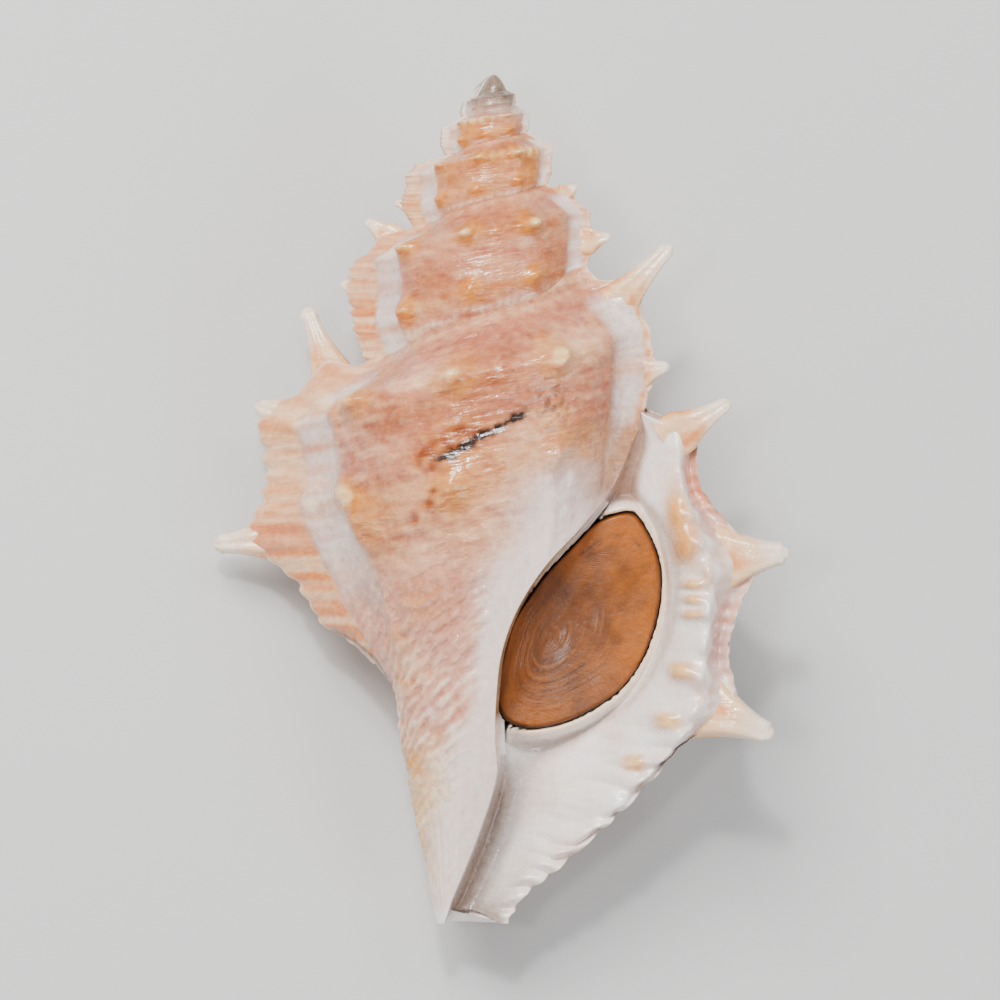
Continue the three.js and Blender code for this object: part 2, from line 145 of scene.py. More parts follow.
# Knobs on the ledge beside the last whorl's left varix: x, h, size, height
LEDGE_KNOBS = [
    (-14.9, 29.0, 1.3, 1.0), (-17.6, 31.0, 1.0, 0.7), (-13.2, 37.4, 1.4, 1.0), (-16.1, 38.2, 1.1, 0.8),
]

# Growth angles just past the last whorl's right and left varix
PAST_RIGHT_VARIX = -1.1
PAST_LEFT_VARIX = -0.49

# Beads: length of one on the shoulder of the early whorls, and how many a turn has above the suture
RIM_BEAD = 0.95
SUTURE_BEADS = 64

# Along the outer lip: length of a knob, a rib and a flute
KNOB_LENGTH = 2.9
RIB_LENGTH = 1.1
FLUTE_LENGTH = 2.7

# Size of the finest cords: across, along, and the share of the change at each varix
WEAVE = [0.75, 2.4, 3 / 7]
LOW_WEAVE = [0.75, 1.8, 1]

# Depth and width of the callus beside the columella
CALLUS_WIDTH = [[30, 6.0], [36, 7.0], [42, 5.2], [48, 2.2], [56, 2.3], [62, 3.7], [68, 3.8], [76, 2.0]]

# Amber stains: x, h, size, amount, and brown specks: x, h, size
AMBER_STAINS = [
    (-7.4, 61.1, 1.5, 0.55), (-7.0, 64.2, 1.3, 0.5), (-7.8, 53.6, 1.8, 0.6), (-3.5, 33, 3.2, 0.45),
    (-6.2, 46.5, 2.2, 0.45), (5.4, 30.5, 2.0, 0.5), (8.5, 33.5, 1.8, 0.4), (0, 34, 4.5, 0.25),
    (-10, 42, 2.0, 0.4), (-8.4, 50, 1.5, 0.5), (-4.5, 36.5, 3.5, 0.35), (-10.5, 38.5, 1.6, 0.5),
]
BROWN_SPECKS = [(-5.4, 34.9, 0.4), (-6.9, 39.3, 0.45), (-5.6, 38.1, 0.5), (-5.2, 37.0, 0.3)]

# Chipped edge in the lower left of the last whorl, and the painted shadow line under it: x, h
CHIPPED_EDGE = [[-14.6, 50.6], [-11.4, 52.6], [-9.6, 55.6]]
CHIPPED_SHADOW_LINE = [[-14.4, 49.4], [-12.4, 50.3], [-10.6, 51.8], [-9.0, 54.2]]

# Stain and crack across the last whorl: x, h
CRACK_STAIN = [[-5.8, 34.0], [-4.0, 33.0], [-1.8, 31.9]]
CRACK = [[-4.6, 34.2], [-3.1, 33.6], [-1.6, 32.5], [-0.4, 31.9], [1.2, 31.0], [2.6, 30.3]]

# Fall of the cords on the last whorl's base, towards the left
CORD_FALL = math.radians(38)

# Operculum: outline as x and depth h, thickness, the level of its underside, and where its growth
# rings start
OPERCULUM_OUTLINE = [
    [12.0, 38.9], [13.5, 40.6], [14.5, 43.1], [14.7, 45.7], [14.2, 48.8], [13.0, 51.9], [11.1, 54.5],
    [8.4, 56.4], [5.8, 57.5], [3.2, 57.9], [1.2, 57.3], [0.4, 55.8], [0.4, 53.6], [1.0, 51.0], [1.8, 48.5],
    [3.2, 46.3], [4.9, 44.1], [7.1, 41.8], [9.3, 39.7],
]
OPERCULUM_THICKNESS = 1.1
OPERCULUM_LEVEL = 0.9
OPERCULUM_NUCLEUS = [4.7, 50.2]
SCRATCH = [[7.6, 42.6], [9.4, 41.2], [11.6, 40.8], [12.8, 41.8]]

# Top of the apex: x, depth h and z
APEX = np.array([0, 0.15, 0])

# Resting place: the direction in the shell's own frame that points down, and the shift once it is turned
REST_DOWN = Vector((-0.154, -0.089, -0.984)).normalized()
REST_SHIFT = Vector((-0.75, 37.57, 17.01))
REST_TURN = REST_DOWN.rotation_difference(Vector((0, 0, -1))).to_matrix()

# Columns of the surface in each half whorl, from the first to the last, rows down a whorl and down
# the base, and rows along the face
HALF_COLUMNS = [16, 24, 22, 40, 30, 70, 50, 130, 70, 250, 110]
WHORL_ROWS = 92
BASE_ROWS = 230
FACE_ROWS = 300


def curve(table, x):
    """Smooth curve through the rows [x, a, b, ...] of a table, at the places x."""
    rows = np.asarray(table, float)
    knots = rows[:, 0]
    values = rows[:, 1:]
    slopes = np.empty_like(values)
    slopes[1:-1] = (values[2:] - values[:-2]) / (knots[2:] - knots[:-2])[:, None]
    slopes[0] = (values[1] - values[0]) / (knots[1] - knots[0])
    slopes[-1] = (values[-1] - values[-2]) / (knots[-1] - knots[-2])
    x = np.asarray(x, float)
    i = np.clip(np.searchsorted(knots, x, side="left") - 1, 0, len(knots) - 2)
    width = knots[i + 1] - knots[i]
    u = unit((x - knots[i]) / width)[..., None]
    a = values[i]
    b = values[i + 1]
    rise = slopes[i] * width[..., None]
    fall = slopes[i + 1] * width[..., None]
    return a + u * (rise + u * (3 * (b - a) - 2 * rise - fall + u * (2 * (a - b) + rise + fall)))


def at(table, x):
    return curve(table, x)[..., 0]


def bump(x, width):
    return np.exp(-((x / width) ** 2))


def step(x, low, high):
    u = unit((x - low) / (high - low))
    return u * u * (3 - 2 * u)


def lerp(a, b, u):
    return a + (b - a) * u


def unit(x):
    """x kept between 0 and 1."""
    return np.clip(x, 0, 1)


def azimuth(t):
    return LIP_AZIMUTH + math.tau * t


def shoulder(t):
    return RADIUS_AT_LIP * RADIUS_GROWTH**t


def even_suture(t):
    return SUTURE_AT_LIP * SUTURE_GROWTH**t


def suture(t):
    """Depth of the suture, which climbs a little behind each lip on the right."""
    turns = np.where(t > 0, BEYOND_LIP_TURNS, CLIMB_TURNS)
    return even_suture(t) - LIP_CLIMB * bump(t, turns) - EARLIER_CLIMB * bump(t + 1, CLIMB_TURNS)


def across(t, h):
    """Place across a whorl: 0 at its suture and 1 at the next."""
    return (h - even_suture(t)) / (even_suture(t + 1) - even_suture(t))


def base_radius(t, h):
    """Radius of the last whorl's base, from its periphery in to the canal."""
    start = lerp(even_suture(t), even_suture(t + 1), BASE_START)
    end = lerp(56, 67, step(t, -0.5, 0))
    periphery = shoulder(t) * at(WHORL_PROFILE, BASE_START)
    inner = at(CANAL_RADIUS, np.maximum(h, start))
    return inner + (periphery - at(CANAL_RADIUS, start)) * (1 - step(h, start, end))


def whorl_radius(t, h):
    x = across(t, h)
    coiled = shoulder(t) * at(WHORL_PROFILE, np.clip(x, -0.3, 1.2))
    blend = np.where(x < BASE_START, 0, step(t, -1.15, -0.98))
    return lerp(coiled, base_radius(t, h), blend)


def varix_height(t, h):
    """Rise of the varices: gradual towards earlier growth, steep on the other side, with scallops."""
    height = np.zeros_like(t)
    for k in range(1, round(2 * WHORLS) + 1):
        after = t + k / 2
        turns = np.where(after < 0, VARIX_RISE_TURNS, VARIX_FALL_TURNS)
        side = LEFT_VARIX if k % 2 else RIGHT_VARIX
        size = side * RADIUS_GROWTH ** ((1 - k) / 2)
        shape = np.exp(-((np.abs(after) / turns) ** 1.3))
        place = across(-k / 2, h)
        wave = np.cos(math.tau * place * 15 + k) + 0.7 * np.cos(math.tau * place * 9.3 + 2 * k)
        scallop = 1 + 0.028 * shape * wave * (1 - (k == 2) * step(h, 27, 31))
        slant = lerp(1, lerp(0.55, 1.3, unit(place)), 1 - step(h, 3, 7))
        height += size * shape * scallop * slant * at(VARIX_HEIGHT, np.clip(place, 0, 3))
    return height


def nodule_height(t, h):
    size = shoulder(t)
    x = across(t, h)
    half = np.floor(2 * t)
    turn = t - half / 2
    height = np.zeros_like(t)
    for k, (place, high, width) in enumerate(NODULE_ROWS):
        for n, turns in enumerate(NODULE_TURNS):
            seed = np.sin(half * 12.9898 + 78.233 * (k + 1) + 37.719 * n) * 43758.5453
            chance = seed - np.floor(seed)
            down = x - place - 0.02 * (chance - 0.5)
            along = turn - turns - 0.008 * (chance - 0.5)
            swell = 0.55 * bump(down, width) * bump(along, 0.021)
            away = np.hypot(down / (0.8 * width), along / 0.0125)
            height += high * (0.85 + 0.4 * chance) * size * (swell + 0.8 * np.exp(-(away**1.4)))
    return height


def free_radius(t, h):
    """Radius at growth angle t and depth h, as if there were no whorl before."""
    own = whorl_radius(t, h) + varix_height(t, h) + nodule_height(t, h)
    lip = np.exp(-((np.abs(t) / LIP_FLARE_TURNS) ** 1.3))
    return own + lip * (at(LIP_EDGE, h) - own)


def radius(t, h):
    """Radius of the shell, drawn in or out near its suture to meet the whorl before."""
    free = free_radius(t, h)
    top = suture(t)
    fade = (h - top) / (JOIN_SHARE * (even_suture(t + 1) - even_suture(t)))
    near = (fade < 1) & (t - 1 >= -WHORLS)
    if not near.any():
        return free
    joined = free.copy()
    tn = t[near]
    gap = radius(tn - 1, top[near]) - free_radius(tn, top[near])
    joined[near] += gap * (1 - unit(fade[near])) ** 2
    return joined


def surface_point(t, h, extra=0):
    """Point of the shell's surface at growth angle t and depth h, extra millimetres further out."""
    r = radius(t, h) + extra
    a = azimuth(t)
    return np.stack([at(CANAL_BEND, h) + r * np.cos(a), h, FLATNESS * r * np.sin(a)], -1)


def lip_edge(count):
    """Depths, points and length along the outer lip's edge, at a count of even depths."""
    depth = np.linspace(suture(np.zeros(1))[0], CANAL_END, count)
    lip = surface_point(np.zeros(count), depth)
    steps = np.linalg.norm(np.diff(lip, axis=0), axis=1)
    return depth, lip, np.concatenate([[0], np.cumsum(steps)])


def columella_turn(h):
    """Growth angle at which the last whorl's first column lies on the columella's edge."""
    h = np.asarray(h, float)
    turn = np.full_like(h, -0.9)
    for _ in range(60):
        reach = (at(COLUMELLA_EDGE, h) - at(CANAL_BEND, h)) / radius(turn, h)
        found = -1 + (np.arccos(np.clip(reach, -1, 1)) - LIP_AZIMUTH) / math.tau
        turn = lerp(turn, found, 0.15)
    edge = suture(np.zeros(1))[0]
    return lerp(-1, np.maximum(turn, -1), step(h, edge, edge + 4))


def wander(p, scale, seed):
    """Smooth random waves over points p, about -1 to 1."""
    rng = np.random.default_rng(seed)
    total = np.zeros(len(p))
    for _ in range(7):
        wave = rng.normal(size=3)
        wave *= math.tau / (scale * (0.6 + 0.9 * rng.random()) * np.linalg.norm(wave))
        total += np.sin(p @ wave + math.tau * rng.random())
    return total / 3.2


# Colours
WHORL_PINK = (202, 126, 96)
WHORL_BROWN = (158, 82, 48)
WHORL_ORANGE = (212, 136, 54)
WHORL_CREAM = (236, 184, 142)
STRIP_WHITE = (228, 214, 208)
CALLUS_WHITE = (236, 218, 210)
FLANGE_PALE = (242, 196, 150)
FLANGE_ORANGE = (222, 130, 56)
AMBER = (208, 128, 30)
PALE_TIP_AND_HIGHLIGHT = (246, 206, 140)
APEX_GREY = (102, 86, 72)
BASE_BEADS = (238, 200, 176)
BASE_PINK = (208, 142, 120)
CANAL_CREAM = (234, 190, 122)
CANAL_SHADE_GREY = (134, 106, 88)
LIP_WHITE = (244, 240, 236)
SPIRE_TAN = (182, 104, 52)
LIP_PINK = (208, 160, 148)
TOOTH_AMBER = (228, 160, 84)
VALLEY_TAN = (166, 110, 66)
PIT_SHADE_BROWN = (96, 62, 40)
SPINE_CREAM = (248, 232, 212)
STAIN_AND_SHADE_BROWN = (150, 72, 24)
CRACK_AND_SHADOW_DARK = (44, 22, 14)
OPERCULUM_AMBER = (148, 78, 4)
OPERCULUM_BROWN = (80, 40, 10)
OPERCULUM_PALE = (184, 108, 34)
OPERCULUM_CENTRE = (96, 54, 28)
OPERCULUM_EDGE = (40, 20, 10)


def linear(colour):
    c = np.array(colour, float) / 255
    return np.where(c <= 0.04045, c / 12.92, ((c + 0.055) / 1.055) ** 2.4)


def mix(colours, colour, amount):
    """colours moved towards one colour by an amount at each point."""
    share = unit(amount)[:, None]
    return colours * (1 - share) + linear(colour) * share


def painted(p, ground, layers):
    """Colours of points p: a ground, and the layers (colour, amount) laid on it in turn."""
    tint = np.tile(linear(ground), (len(p), 1))
    for colour, amount in layers:
        tint = mix(tint, colour, amount)
    return tint


def spine_web(p):
    """Points p of the shell drawn out a little towards each spine whose foot they are near."""
    moved = p.copy()
    for foot, tip, wide, _ in SPINES:
        foot = np.array(foot)
        along = np.array(tip) - foot
        length = np.linalg.norm(along)
        along /= length
        away = p - foot
        reach = away @ along
        off = np.linalg.norm(away - reach[:, None] * along, axis=1)
        pull = 0.4 * length * np.exp(-((off / wide) ** 1.6)) * bump(np.minimum(reach, 0), 2.5)
        moved += pull[:, None] * along
    return moved


def near_spot(p, x, h, size):
    """How near points p are to the place x, h: 1 there and 0 further off."""
    return bump(np.hypot(p[:, 0] - x, p[:, 1] - h), size)


def near_line(p, places, width):
    """How near points p are to a line of places [x, h]."""
    best = np.full(len(p), 1e9)
    for a, b in zip(places[:-1], places[1:]):
        a = np.array(a, float)
        b = np.array(b, float)
        u = unit(((p[:, :2] - a) @ (b - a)) / ((b - a) @ (b - a)))
        best = np.minimum(best, np.linalg.norm(p[:, :2] - a - u[:, None] * (b - a), axis=1))
    return bump(best, width)


def near_lip_spine(p, wide):
    """How near points p are to the lines along the outer lip's spines, begun a little inside."""
    share = np.zeros(len(p))
    for foot, tip, _, _ in SPINES[:LIP_SPINES]:
        foot = np.array(foot[:2])
        along = np.array(tip[:2]) - foot
        along /= np.linalg.norm(along)
        away = p[:, :2] - foot
        reach = away @ along
        off = np.linalg.norm(away - reach[:, None] * along, axis=1)
        narrower = wide * (1 - 0.12 * np.clip(reach, -2, 3))
        share = np.maximum(share, bump(off, narrower) * step(reach, -2.5, 0.5))
    return share


def cord_places(p, t, h):
    """Places across the cords and along them in millimetres, on the whorls and on the base.

    A third value changes at each varix, so that the patterns on its two sides differ.
    """
    tall = even_suture(t + 1) - even_suture(t)
    upper = np.column_stack([across(t, h) * tall, growth_mm(t), 3 * np.floor(2 * t)])
    turn = math.tau * (t - (np.floor(2 * t) + 0.5) / 2)
    way = turn * np.hypot(p[:, 0], p[:, 2] / FLATNESS)
    fall = h * math.cos(CORD_FALL) - way * math.sin(CORD_FALL)
    along = h * math.sin(CORD_FALL) + way * math.cos(CORD_FALL)
    lower = np.column_stack([fall, along, np.zeros(len(p))])
    return upper, lower


def base_share(t, h):
    """Share of the last whorl's base: 0 on the whorls and 1 from a little below the periphery."""
    return step(h, 40, 50) * (t > PAST_RIGHT_VARIX)


def columella_distance(p):
    """Distance in millimetres to the left of the columella's edge, seen from the front."""
    return at(COLUMELLA_EDGE, p[:, 1]) - p[:, 0]


def varix_zones(t, h):
    """Shares of each point in a varix's flange, in the white hollow beside it, and on the ledge."""
    degrees = 360 * (t - np.floor(2 * t) / 2)
    before = 180 - degrees
    last = (t > -1) & (t < -0.5)
    wide = np.where(last, 27 + 1.1 * np.clip(h - 30, 0, 12), 35)
    flange = np.maximum(1 - step(before, 9.5, 12.5), 1 - step(degrees, 1.0, 2.5))
    hollow = step(before, 8.5, 14) * (1 - step(before, wide - 7, wide + 5))
    other = step(degrees, 0.8, 2.5) * (1 - step(degrees, 9, 17))
    ledge = bump(before - 14, 3.0) + 0.7 * bump(before - wide - 1, 5)
    return flange, np.maximum(hollow, other), ledge


def callus_share(p, t, h, ragged):
    """Share of the smooth white callus to the left of the columella's edge."""
    wide = at(CALLUS_WIDTH, h)
    share = 1 - step(columella_distance(p) + ragged, 0.5 * wide, 1.7 * wide)
    return share * (p[:, 2] > 0) * step(h, 32, 37) * (t > PAST_RIGHT_VARIX)


def last_front(t):
    """True on the front half of the last whorl, and just past the varices at its ends."""
    return (t > PAST_RIGHT_VARIX) & (t < PAST_LEFT_VARIX)


def beaded_rim(t, h):
    """Share of the beaded rim on the shoulder of the early whorls, and its beads, from -1 to 1."""
    rim = bump(across(t, h) - 0.3, 0.09) * step(h, 3.6, 4.4) * (1 - step(h, 6.5, 8.5))
    return rim, np.cos(math.tau * growth_mm(t) / RIM_BEAD)


def skin_places(p, t, h):
    """What the colours go by at each point of the whorls: places, zones and seeded patches."""
    s = SimpleNamespace(p=p, t=t, h=h)
    s.x = across(t, h)
    s.size = shoulder(t)
    s.low = base_share(t, h)
    s.upper = 1 - s.low
    s.front = last_front(t)
    s.last = t > PAST_RIGHT_VARIX
    s.earlier = t < -1.02
    s.off = np.abs(t - np.round(2 * t) / 2) * 360
    s.away = columella_distance(p)
    upper, s.lower = cord_places(p, t, h)
    s.broad = wander(p, 11, 3)
    s.patch = lerp(wander(upper / [3.5, 8, 1], 1.6, 5), wander(p, 5, 6), s.low)
    s.streak = lerp(wander(upper / [0.8, 9, 1], 1.6, 7), wander(s.lower / [0.8, 5, 1], 1.6, 9), s.low)
    s.fine = lerp(wander(upper / [0.5, 1.7, 1], 1.6, 8), wander(s.lower / [0.55, 1.8, 1], 1.6, 10), s.low)
    return s


def whorl_layers(s):
    """Mottled pink and brown, with orange bands along the nodules, a cream line at the suture and painted
    shade in the suture's groove.
    """
    early = 1 - step(s.h, 9, 17)
    lower_part = step(s.x, 0.55, 0.75) * (1 - step(s.x, 1.0, 1.1))
    beads = bump(s.x - 0.95, 0.035) * (0.55 + 0.45 * np.cos(math.tau * s.t * SUTURE_BEADS + 2 * s.broad))
    tan = 0.42 + 0.25 * (1 - step(s.h, 10, 16)) + 0.15 * s.patch
    return [
        (WHORL_BROWN, 0.34 + 0.42 * s.patch + 0.2 * s.streak),
        (WHORL_CREAM, 0.12 - 0.35 * s.patch + 0.2 * s.fine + 0.2 * s.broad),
        (WHORL_ORANGE, (0.75 - 0.5 * s.last) * bump(s.x - 0.3, 0.1) * (0.5 + 0.6 * s.patch)),
        (WHORL_ORANGE, 0.6 * bump(s.x - 0.8, 0.08) * (0.6 + 0.4 * s.broad) * s.upper),
        (FLANGE_PALE, 0.3 * lower_part * (0.7 + 0.5 * s.fine)),
        (SPIRE_TAN, tan * s.earlier),
        (WHORL_ORANGE, 0.6 * early * step(s.x, 0.15, 0.35) * (0.75 + 0.4 * s.patch)),
        (WHORL_PINK, 0.5 * (1 - step(s.x, 0.08, 0.24)) * (0.8 + 0.3 * s.streak)),
        (WHORL_CREAM, 0.55 * (1 - step(s.x, 0.02, 0.1)) * (0.8 + 0.4 * s.fine)),
        # painted shade in the suture's groove
        (STAIN_AND_SHADE_BROWN, 0.45 * bump(s.x, 0.022)),
        (WHORL_BROWN, 0.5 * bump(s.x - 0.19, 0.05) * unit(0.5 + s.patch)),
        (LIP_WHITE, 0.4 * beads * unit(0.7 + 0.5 * s.fine) * s.earlier),
    ]


def nodule_layers(s):
    """Amber round the nodules, the beaded rim and the knobs on the ledge, and pale tips, on the nodules
    and knobs a painted highlight.
    """
    lump = nodule_height(s.t, s.h) / (0.12 * s.size)
    rim, beads = beaded_rim(s.t, s.h)
    layers = [
        (AMBER, (0.75 - 0.3 * s.last) * step(lump, 0.01, 0.25) * s.upper),
        # painted highlight on the nodules' tops
        (PALE_TIP_AND_HIGHLIGHT, 0.8 * step(lump, 0.6, 1.1) * s.upper),
        (AMBER, 0.8 * rim),
        (PALE_TIP_AND_HIGHLIGHT, rim * (0.5 + 0.5 * beads)),
    ]
    for knob_x, knob_h, wide, _ in LEDGE_KNOBS:
        knob = near_spot(s.p, knob_x, knob_h, wide) * s.front
        layers.append((AMBER, 0.75 * step(knob, 0.1, 0.5)))
        # painted highlight on the knobs' tops
        layers.append((PALE_TIP_AND_HIGHLIGHT, 0.85 * step(knob, 0.5, 0.9)))
    return layers


def base_layers(s):
    """Pale beads over pink on the base, and the cream, white and amber neck."""
    rise = bead_rise(s.p, s.lower)
    beads = unit(0.45 + 0.5 * rise + 0.25 * s.streak)
    between_beads = unit(0.45 - 0.7 * rise - 0.2 * s.fine + 0.4 * s.patch)
    cream = 0.45 + 0.55 * step(s.away, 2.5, 5)
    white = unit(s.fine + 0.5 * s.streak - 0.1)
    return [
        (BASE_BEADS, 0.35 * s.low * (1 - step(s.h, 52, 58)) + s.low * step(s.h, 48, 58) * beads),
        (BASE_PINK, 0.75 * s.low * between_beads * (1 - step(s.h, 60, 68))),
        (CANAL_CREAM, step(s.h, 56, 64) * s.front * cream),
        (LIP_WHITE, 0.5 * step(s.h, 50, 60) * s.front * white),
        (AMBER, 0.6 * step(s.h, 56, 63) * s.front * unit(s.patch + 0.4 * s.streak)),
    ]


def varix_layers(s):
    """White glaze in the hollows beside the varices, and orange stripes on their flanges."""
    flange, hollow, _ = varix_zones(s.t, s.h)
    glaze = hollow * s.upper * step(s.x, 0.06, 0.16)
    crest = flange * (s.h < 59) * step(varix_height(s.t, s.h), 0.03 * s.size, 0.1 * s.size)
    half = np.round(2 * s.t)
    stripe_places = np.column_stack([across(half / 2, s.h) * 24, half * 5, np.zeros(len(s.p))])
    stripe = unit(0.5 + 0.75 * wander(stripe_places, 1.7, 13))
    rich = 0.75 + 0.35 * s.patch + 0.75 * s.front * step(s.h, 34, 42)
    under_lip = (1 - step(np.abs(s.t), 0.05, 0.12)) * step(s.h, 46, 50)
    return [
        (STRIP_WHITE, 0.8 * glaze * unit(0.85 + 0.35 * s.streak + 0.2 * s.patch)),
        (AMBER, 0.45 * glaze * bump(s.x - 0.45, 0.07) * unit(0.5 + s.patch)),
        (FLANGE_PALE, crest),
        (FLANGE_ORANGE, crest * (0.1 + 0.95 * stripe) * rich),
        (LIP_PINK, 0.25 * crest * unit(0.4 - s.broad)),
        (SPINE_CREAM, 0.6 * crest * (1 - step(s.off, 0.2, 1.4))),
        (LIP_WHITE, 0.85 * under_lip),
        (LIP_WHITE, near_line(s.p, CHIPPED_EDGE, 0.9) * (s.off < 14)),
    ], crest


def callus_layers(s, crest):
    """Smooth white callus left of the aperture, the valley above it, and the worn grey apex."""
    valley = bump(s.away - 0.5, 2.2) * step(s.h, 29.5, 32) * (1 - step(s.h, 36, 39))
    return [
        (CALLUS_WHITE, 0.92 * callus_share(s.p, s.t, s.h, 0.9 * s.broad)),
        (VALLEY_TAN, 0.9 * valley * s.front),
        (STRIP_WHITE, 0.45 * (1 - step(s.h, 3.0, 5.0))),
        (APEX_GREY, 0.85 * (1 - step(s.h, 1.8, 4.4))),
        (SPINE_CREAM, 0.75 * crest * (1 - step(s.h, 4, 12))),
    ]


def stain_layers(s):
    """Amber and brown stains, the crack, and the painted shadow line under the chipped edge."""
    layers = []
    for spot_x, spot_h, wide, amount in AMBER_STAINS:
        stain = amount * s.front * near_spot(s.p, spot_x, spot_h, wide)
        layers.append((AMBER, stain * (0.8 + 0.5 * s.fine)))
    rough = 0.75 + 0.6 * wander(s.p, 1.1, 22)
    smudge = near_spot(s.p, 5.0, 29.6, 1.7) * unit(2 * wander(s.p, 1.0, 21) - 0.2)
    layers.append((STAIN_AND_SHADE_BROWN, 1.2 * near_line(s.p, CRACK_STAIN, 1.1) * s.front * rough))
    layers.append((CRACK_AND_SHADOW_DARK, 1.8 * crack_share(s.p) * rough * s.front))
    layers.append((CRACK_AND_SHADOW_DARK, 0.6 * smudge * s.front))
    for spot_x, spot_h, wide in BROWN_SPECKS:
        layers.append((STAIN_AND_SHADE_BROWN, 1.2 * s.front * near_spot(s.p, spot_x, spot_h, wide)))
    layers.append((LIP_WHITE, 0.8 * step(s.p[:, 1], 73.2, 74.6)))
    # painted shadow line under the chipped edge
    layers.append((CRACK_AND_SHADOW_DARK, 0.7 * near_line(s.p, CHIPPED_SHADOW_LINE, 0.16) * (s.off < 14)))
    return layers


def strip_tint(p, t, h):
    """Colours of the whorls."""
    s = skin_places(p, t, h)
    varix, crest = varix_layers(s)
    layers = whorl_layers(s) + nodule_layers(s) + base_layers(s) + varix
    layers += callus_layers(s, crest) + stain_layers(s)
    return painted(p, WHORL_PINK, layers)


def bead_rise(p, lower):
    """Rise of the beaded cords on the last whorl's base, from -1 to 1."""
    cord = np.cos(math.tau * lower[:, 0] / 1.15 + 1.5 * wander(p, 6, 36))
    bead = np.cos(math.tau * lower[:, 1] / 1.7 + 1.2 * wander(p, 4, 34) + 1.4 * wander(p, 1.5, 39))
    return np.tanh(0.9 * cord * (0.6 + 0.4 * bead) + 0.8 * wander(lower / [0.8, 1.7, 1], 1.6, 37))


def crack_share(p):
    """How near points p are to the crack across the last whorl."""
    wide = np.maximum(0.38 + 0.16 * wander(p, 1.2, 23) + 0.12 * wander(p, 0.6, 24), 0.06)
    return near_line(p, CRACK, wide)


def relief(p, t, h):
    """Fine relief of the whorls in millimetres: cords, beads, growth steps, dents, ledges and hollows."""
    x = across(t, h)
    size = shoulder(t) / RADIUS_AT_LIP
    _, hollow, ledge = varix_zones(t, h)
    quiet = 1 - 0.9 * callus_share(p, t, h, 0)
    low = base_share(t, h)
    upper, lower = cord_places(p, t, h)
    cords = np.cos(math.tau * x * 24 + 0.9 * wander(p, 5, 33))
    cords = 0.03 * cords + 0.075 * wander(upper / [0.8, 3.0, 1], 1.6, 35)
    made = cords * quiet * (1 - 0.6 * hollow) * (1 - low)
    made += 0.22 * low * quiet * bead_rise(p, lower)
    wide = step(x, 0.08, 0.25) * (1 - step(h, 47, 53))
    notched = 0.9 + 0.3 * np.cos(math.tau * (x - 0.27) * 2) + 0.15 * np.cos(math.tau * x * 7)
    facing = (t > PAST_RIGHT_VARIX) & (p[:, 2] > -3)
    beside = np.where(facing, step(columella_distance(p), 0.3, 4), 1)
    made += wide * (0.75 * ledge * notched - 0.55 * hollow) * beside
    made += 0.3 * nodule_height(t, h) / size * (t < PAST_RIGHT_VARIX)
    rim, rim_beads = beaded_rim(t, h)
    made += 0.5 * rim * rim_beads
    for knob_x, knob_h, knob_wide, knob_high in LEDGE_KNOBS:
        made += knob_high * near_spot(p, knob_x, knob_h, knob_wide) * last_front(t)
    beads = np.cos(math.tau * t * SUTURE_BEADS + wander(p, 5, 38))
    made += 0.07 * bump(x - 0.95, 0.02) * beads * (t < -1.02)
    made += 0.035 * np.sin(growth_mm(t) * math.tau / 2.3 + 2 * x)
    made += 0.13 * wander(p, 5, 31) + 0.05 * wander(p, 1.7, 32)
    return (made - 0.06 * crack_share(p) * last_front(t)) * size


def growth_mm(t):
    """Length along the growing whorl in millimetres."""
    return math.tau * shoulder(t) / math.log(RADIUS_GROWTH)


def grid_faces(lines, count):
    """Quads between lines of points, each with the same count."""
    i, j = np.meshgrid(np.arange(lines - 1), np.arange(count - 1), indexing="ij")
    a = i * count + j
    return np.stack([a, a + count, a + count + 1, a + 1], -1).reshape(-1, 4)


def ring_faces(rings, count):
    """Quads between closed rings of points, each with the same count."""
    i, j = np.meshgrid(np.arange(rings - 1), np.arange(count), indexing="ij")
    k = (j + 1) % count
    inner = i * count
    outer = inner + count
    return np.stack([inner + j, outer + j, outer + k, inner + k], -1).reshape(-1, 4)


def strip_turns():
    """Growth angles of the columns, closer together towards each varix."""
    turns = []
    for n, count in enumerate(HALF_COLUMNS):
        u = np.arange(count) / count
        u = u - 0.45 * np.sin(math.tau * u) / math.tau
        turns.extend(-WHORLS + (n + u) / 2)
    turns.append(0.0)
    return np.array(turns)


def whorl_parts():
    """Points, growth angles, depths and faces of the whorls and of the dome that closes the apex."""
    turns = strip_turns()
    t, v = np.meshgrid(turns, np.linspace(0, 1, WHORL_ROWS + 1), indexing="ij")
    t = t.ravel()
    v = v.ravel()
    h = lerp(suture(t), suture(t + 1), v)
    rough = surface_point(t, h)
    fade = step(v, 0, 0.06) * step(1 - v, 0, 0.04) * (1 - step(np.abs(t), 0.012, 0.0))
    p = surface_point(t, h, relief(rough, t, h) * fade)
    parts = [(p, t, h, grid_faces(len(turns), WHORL_ROWS + 1))]

    # The dome lies over the first whorl's upper edge and the first column
    first_turn = turns < -WHORLS + 1
    t_rim = np.concatenate([turns[first_turn], [-WHORLS + 1], np.full(WHORL_ROWS - 1, -WHORLS)])
    v_rim = np.concatenate([np.zeros(first_turn.sum() + 1), np.linspace(1, 0, WHORL_ROWS + 1)[1:-1]])
    h_rim = lerp(suture(t_rim), suture(t_rim + 1), v_rim)
    rim = surface_point(t_rim, h_rim)
    shares = np.linspace(0, 1, 8)[:, None, None]
    dome = APEX + (rim[None] - APEX) * shares
    dome[:, :, 1] = APEX[1] + (rim[None, :, 1] - APEX[1]) * shares[:, :, 0] ** 1.7
    dome = dome.reshape(-1, 3)
    quads = ring_faces(len(shares), len(rim))[:, [0, 3, 2, 1]]
    parts.append((dome, np.tile(t_rim, len(shares)), dome[:, 1], quads))
    return parts


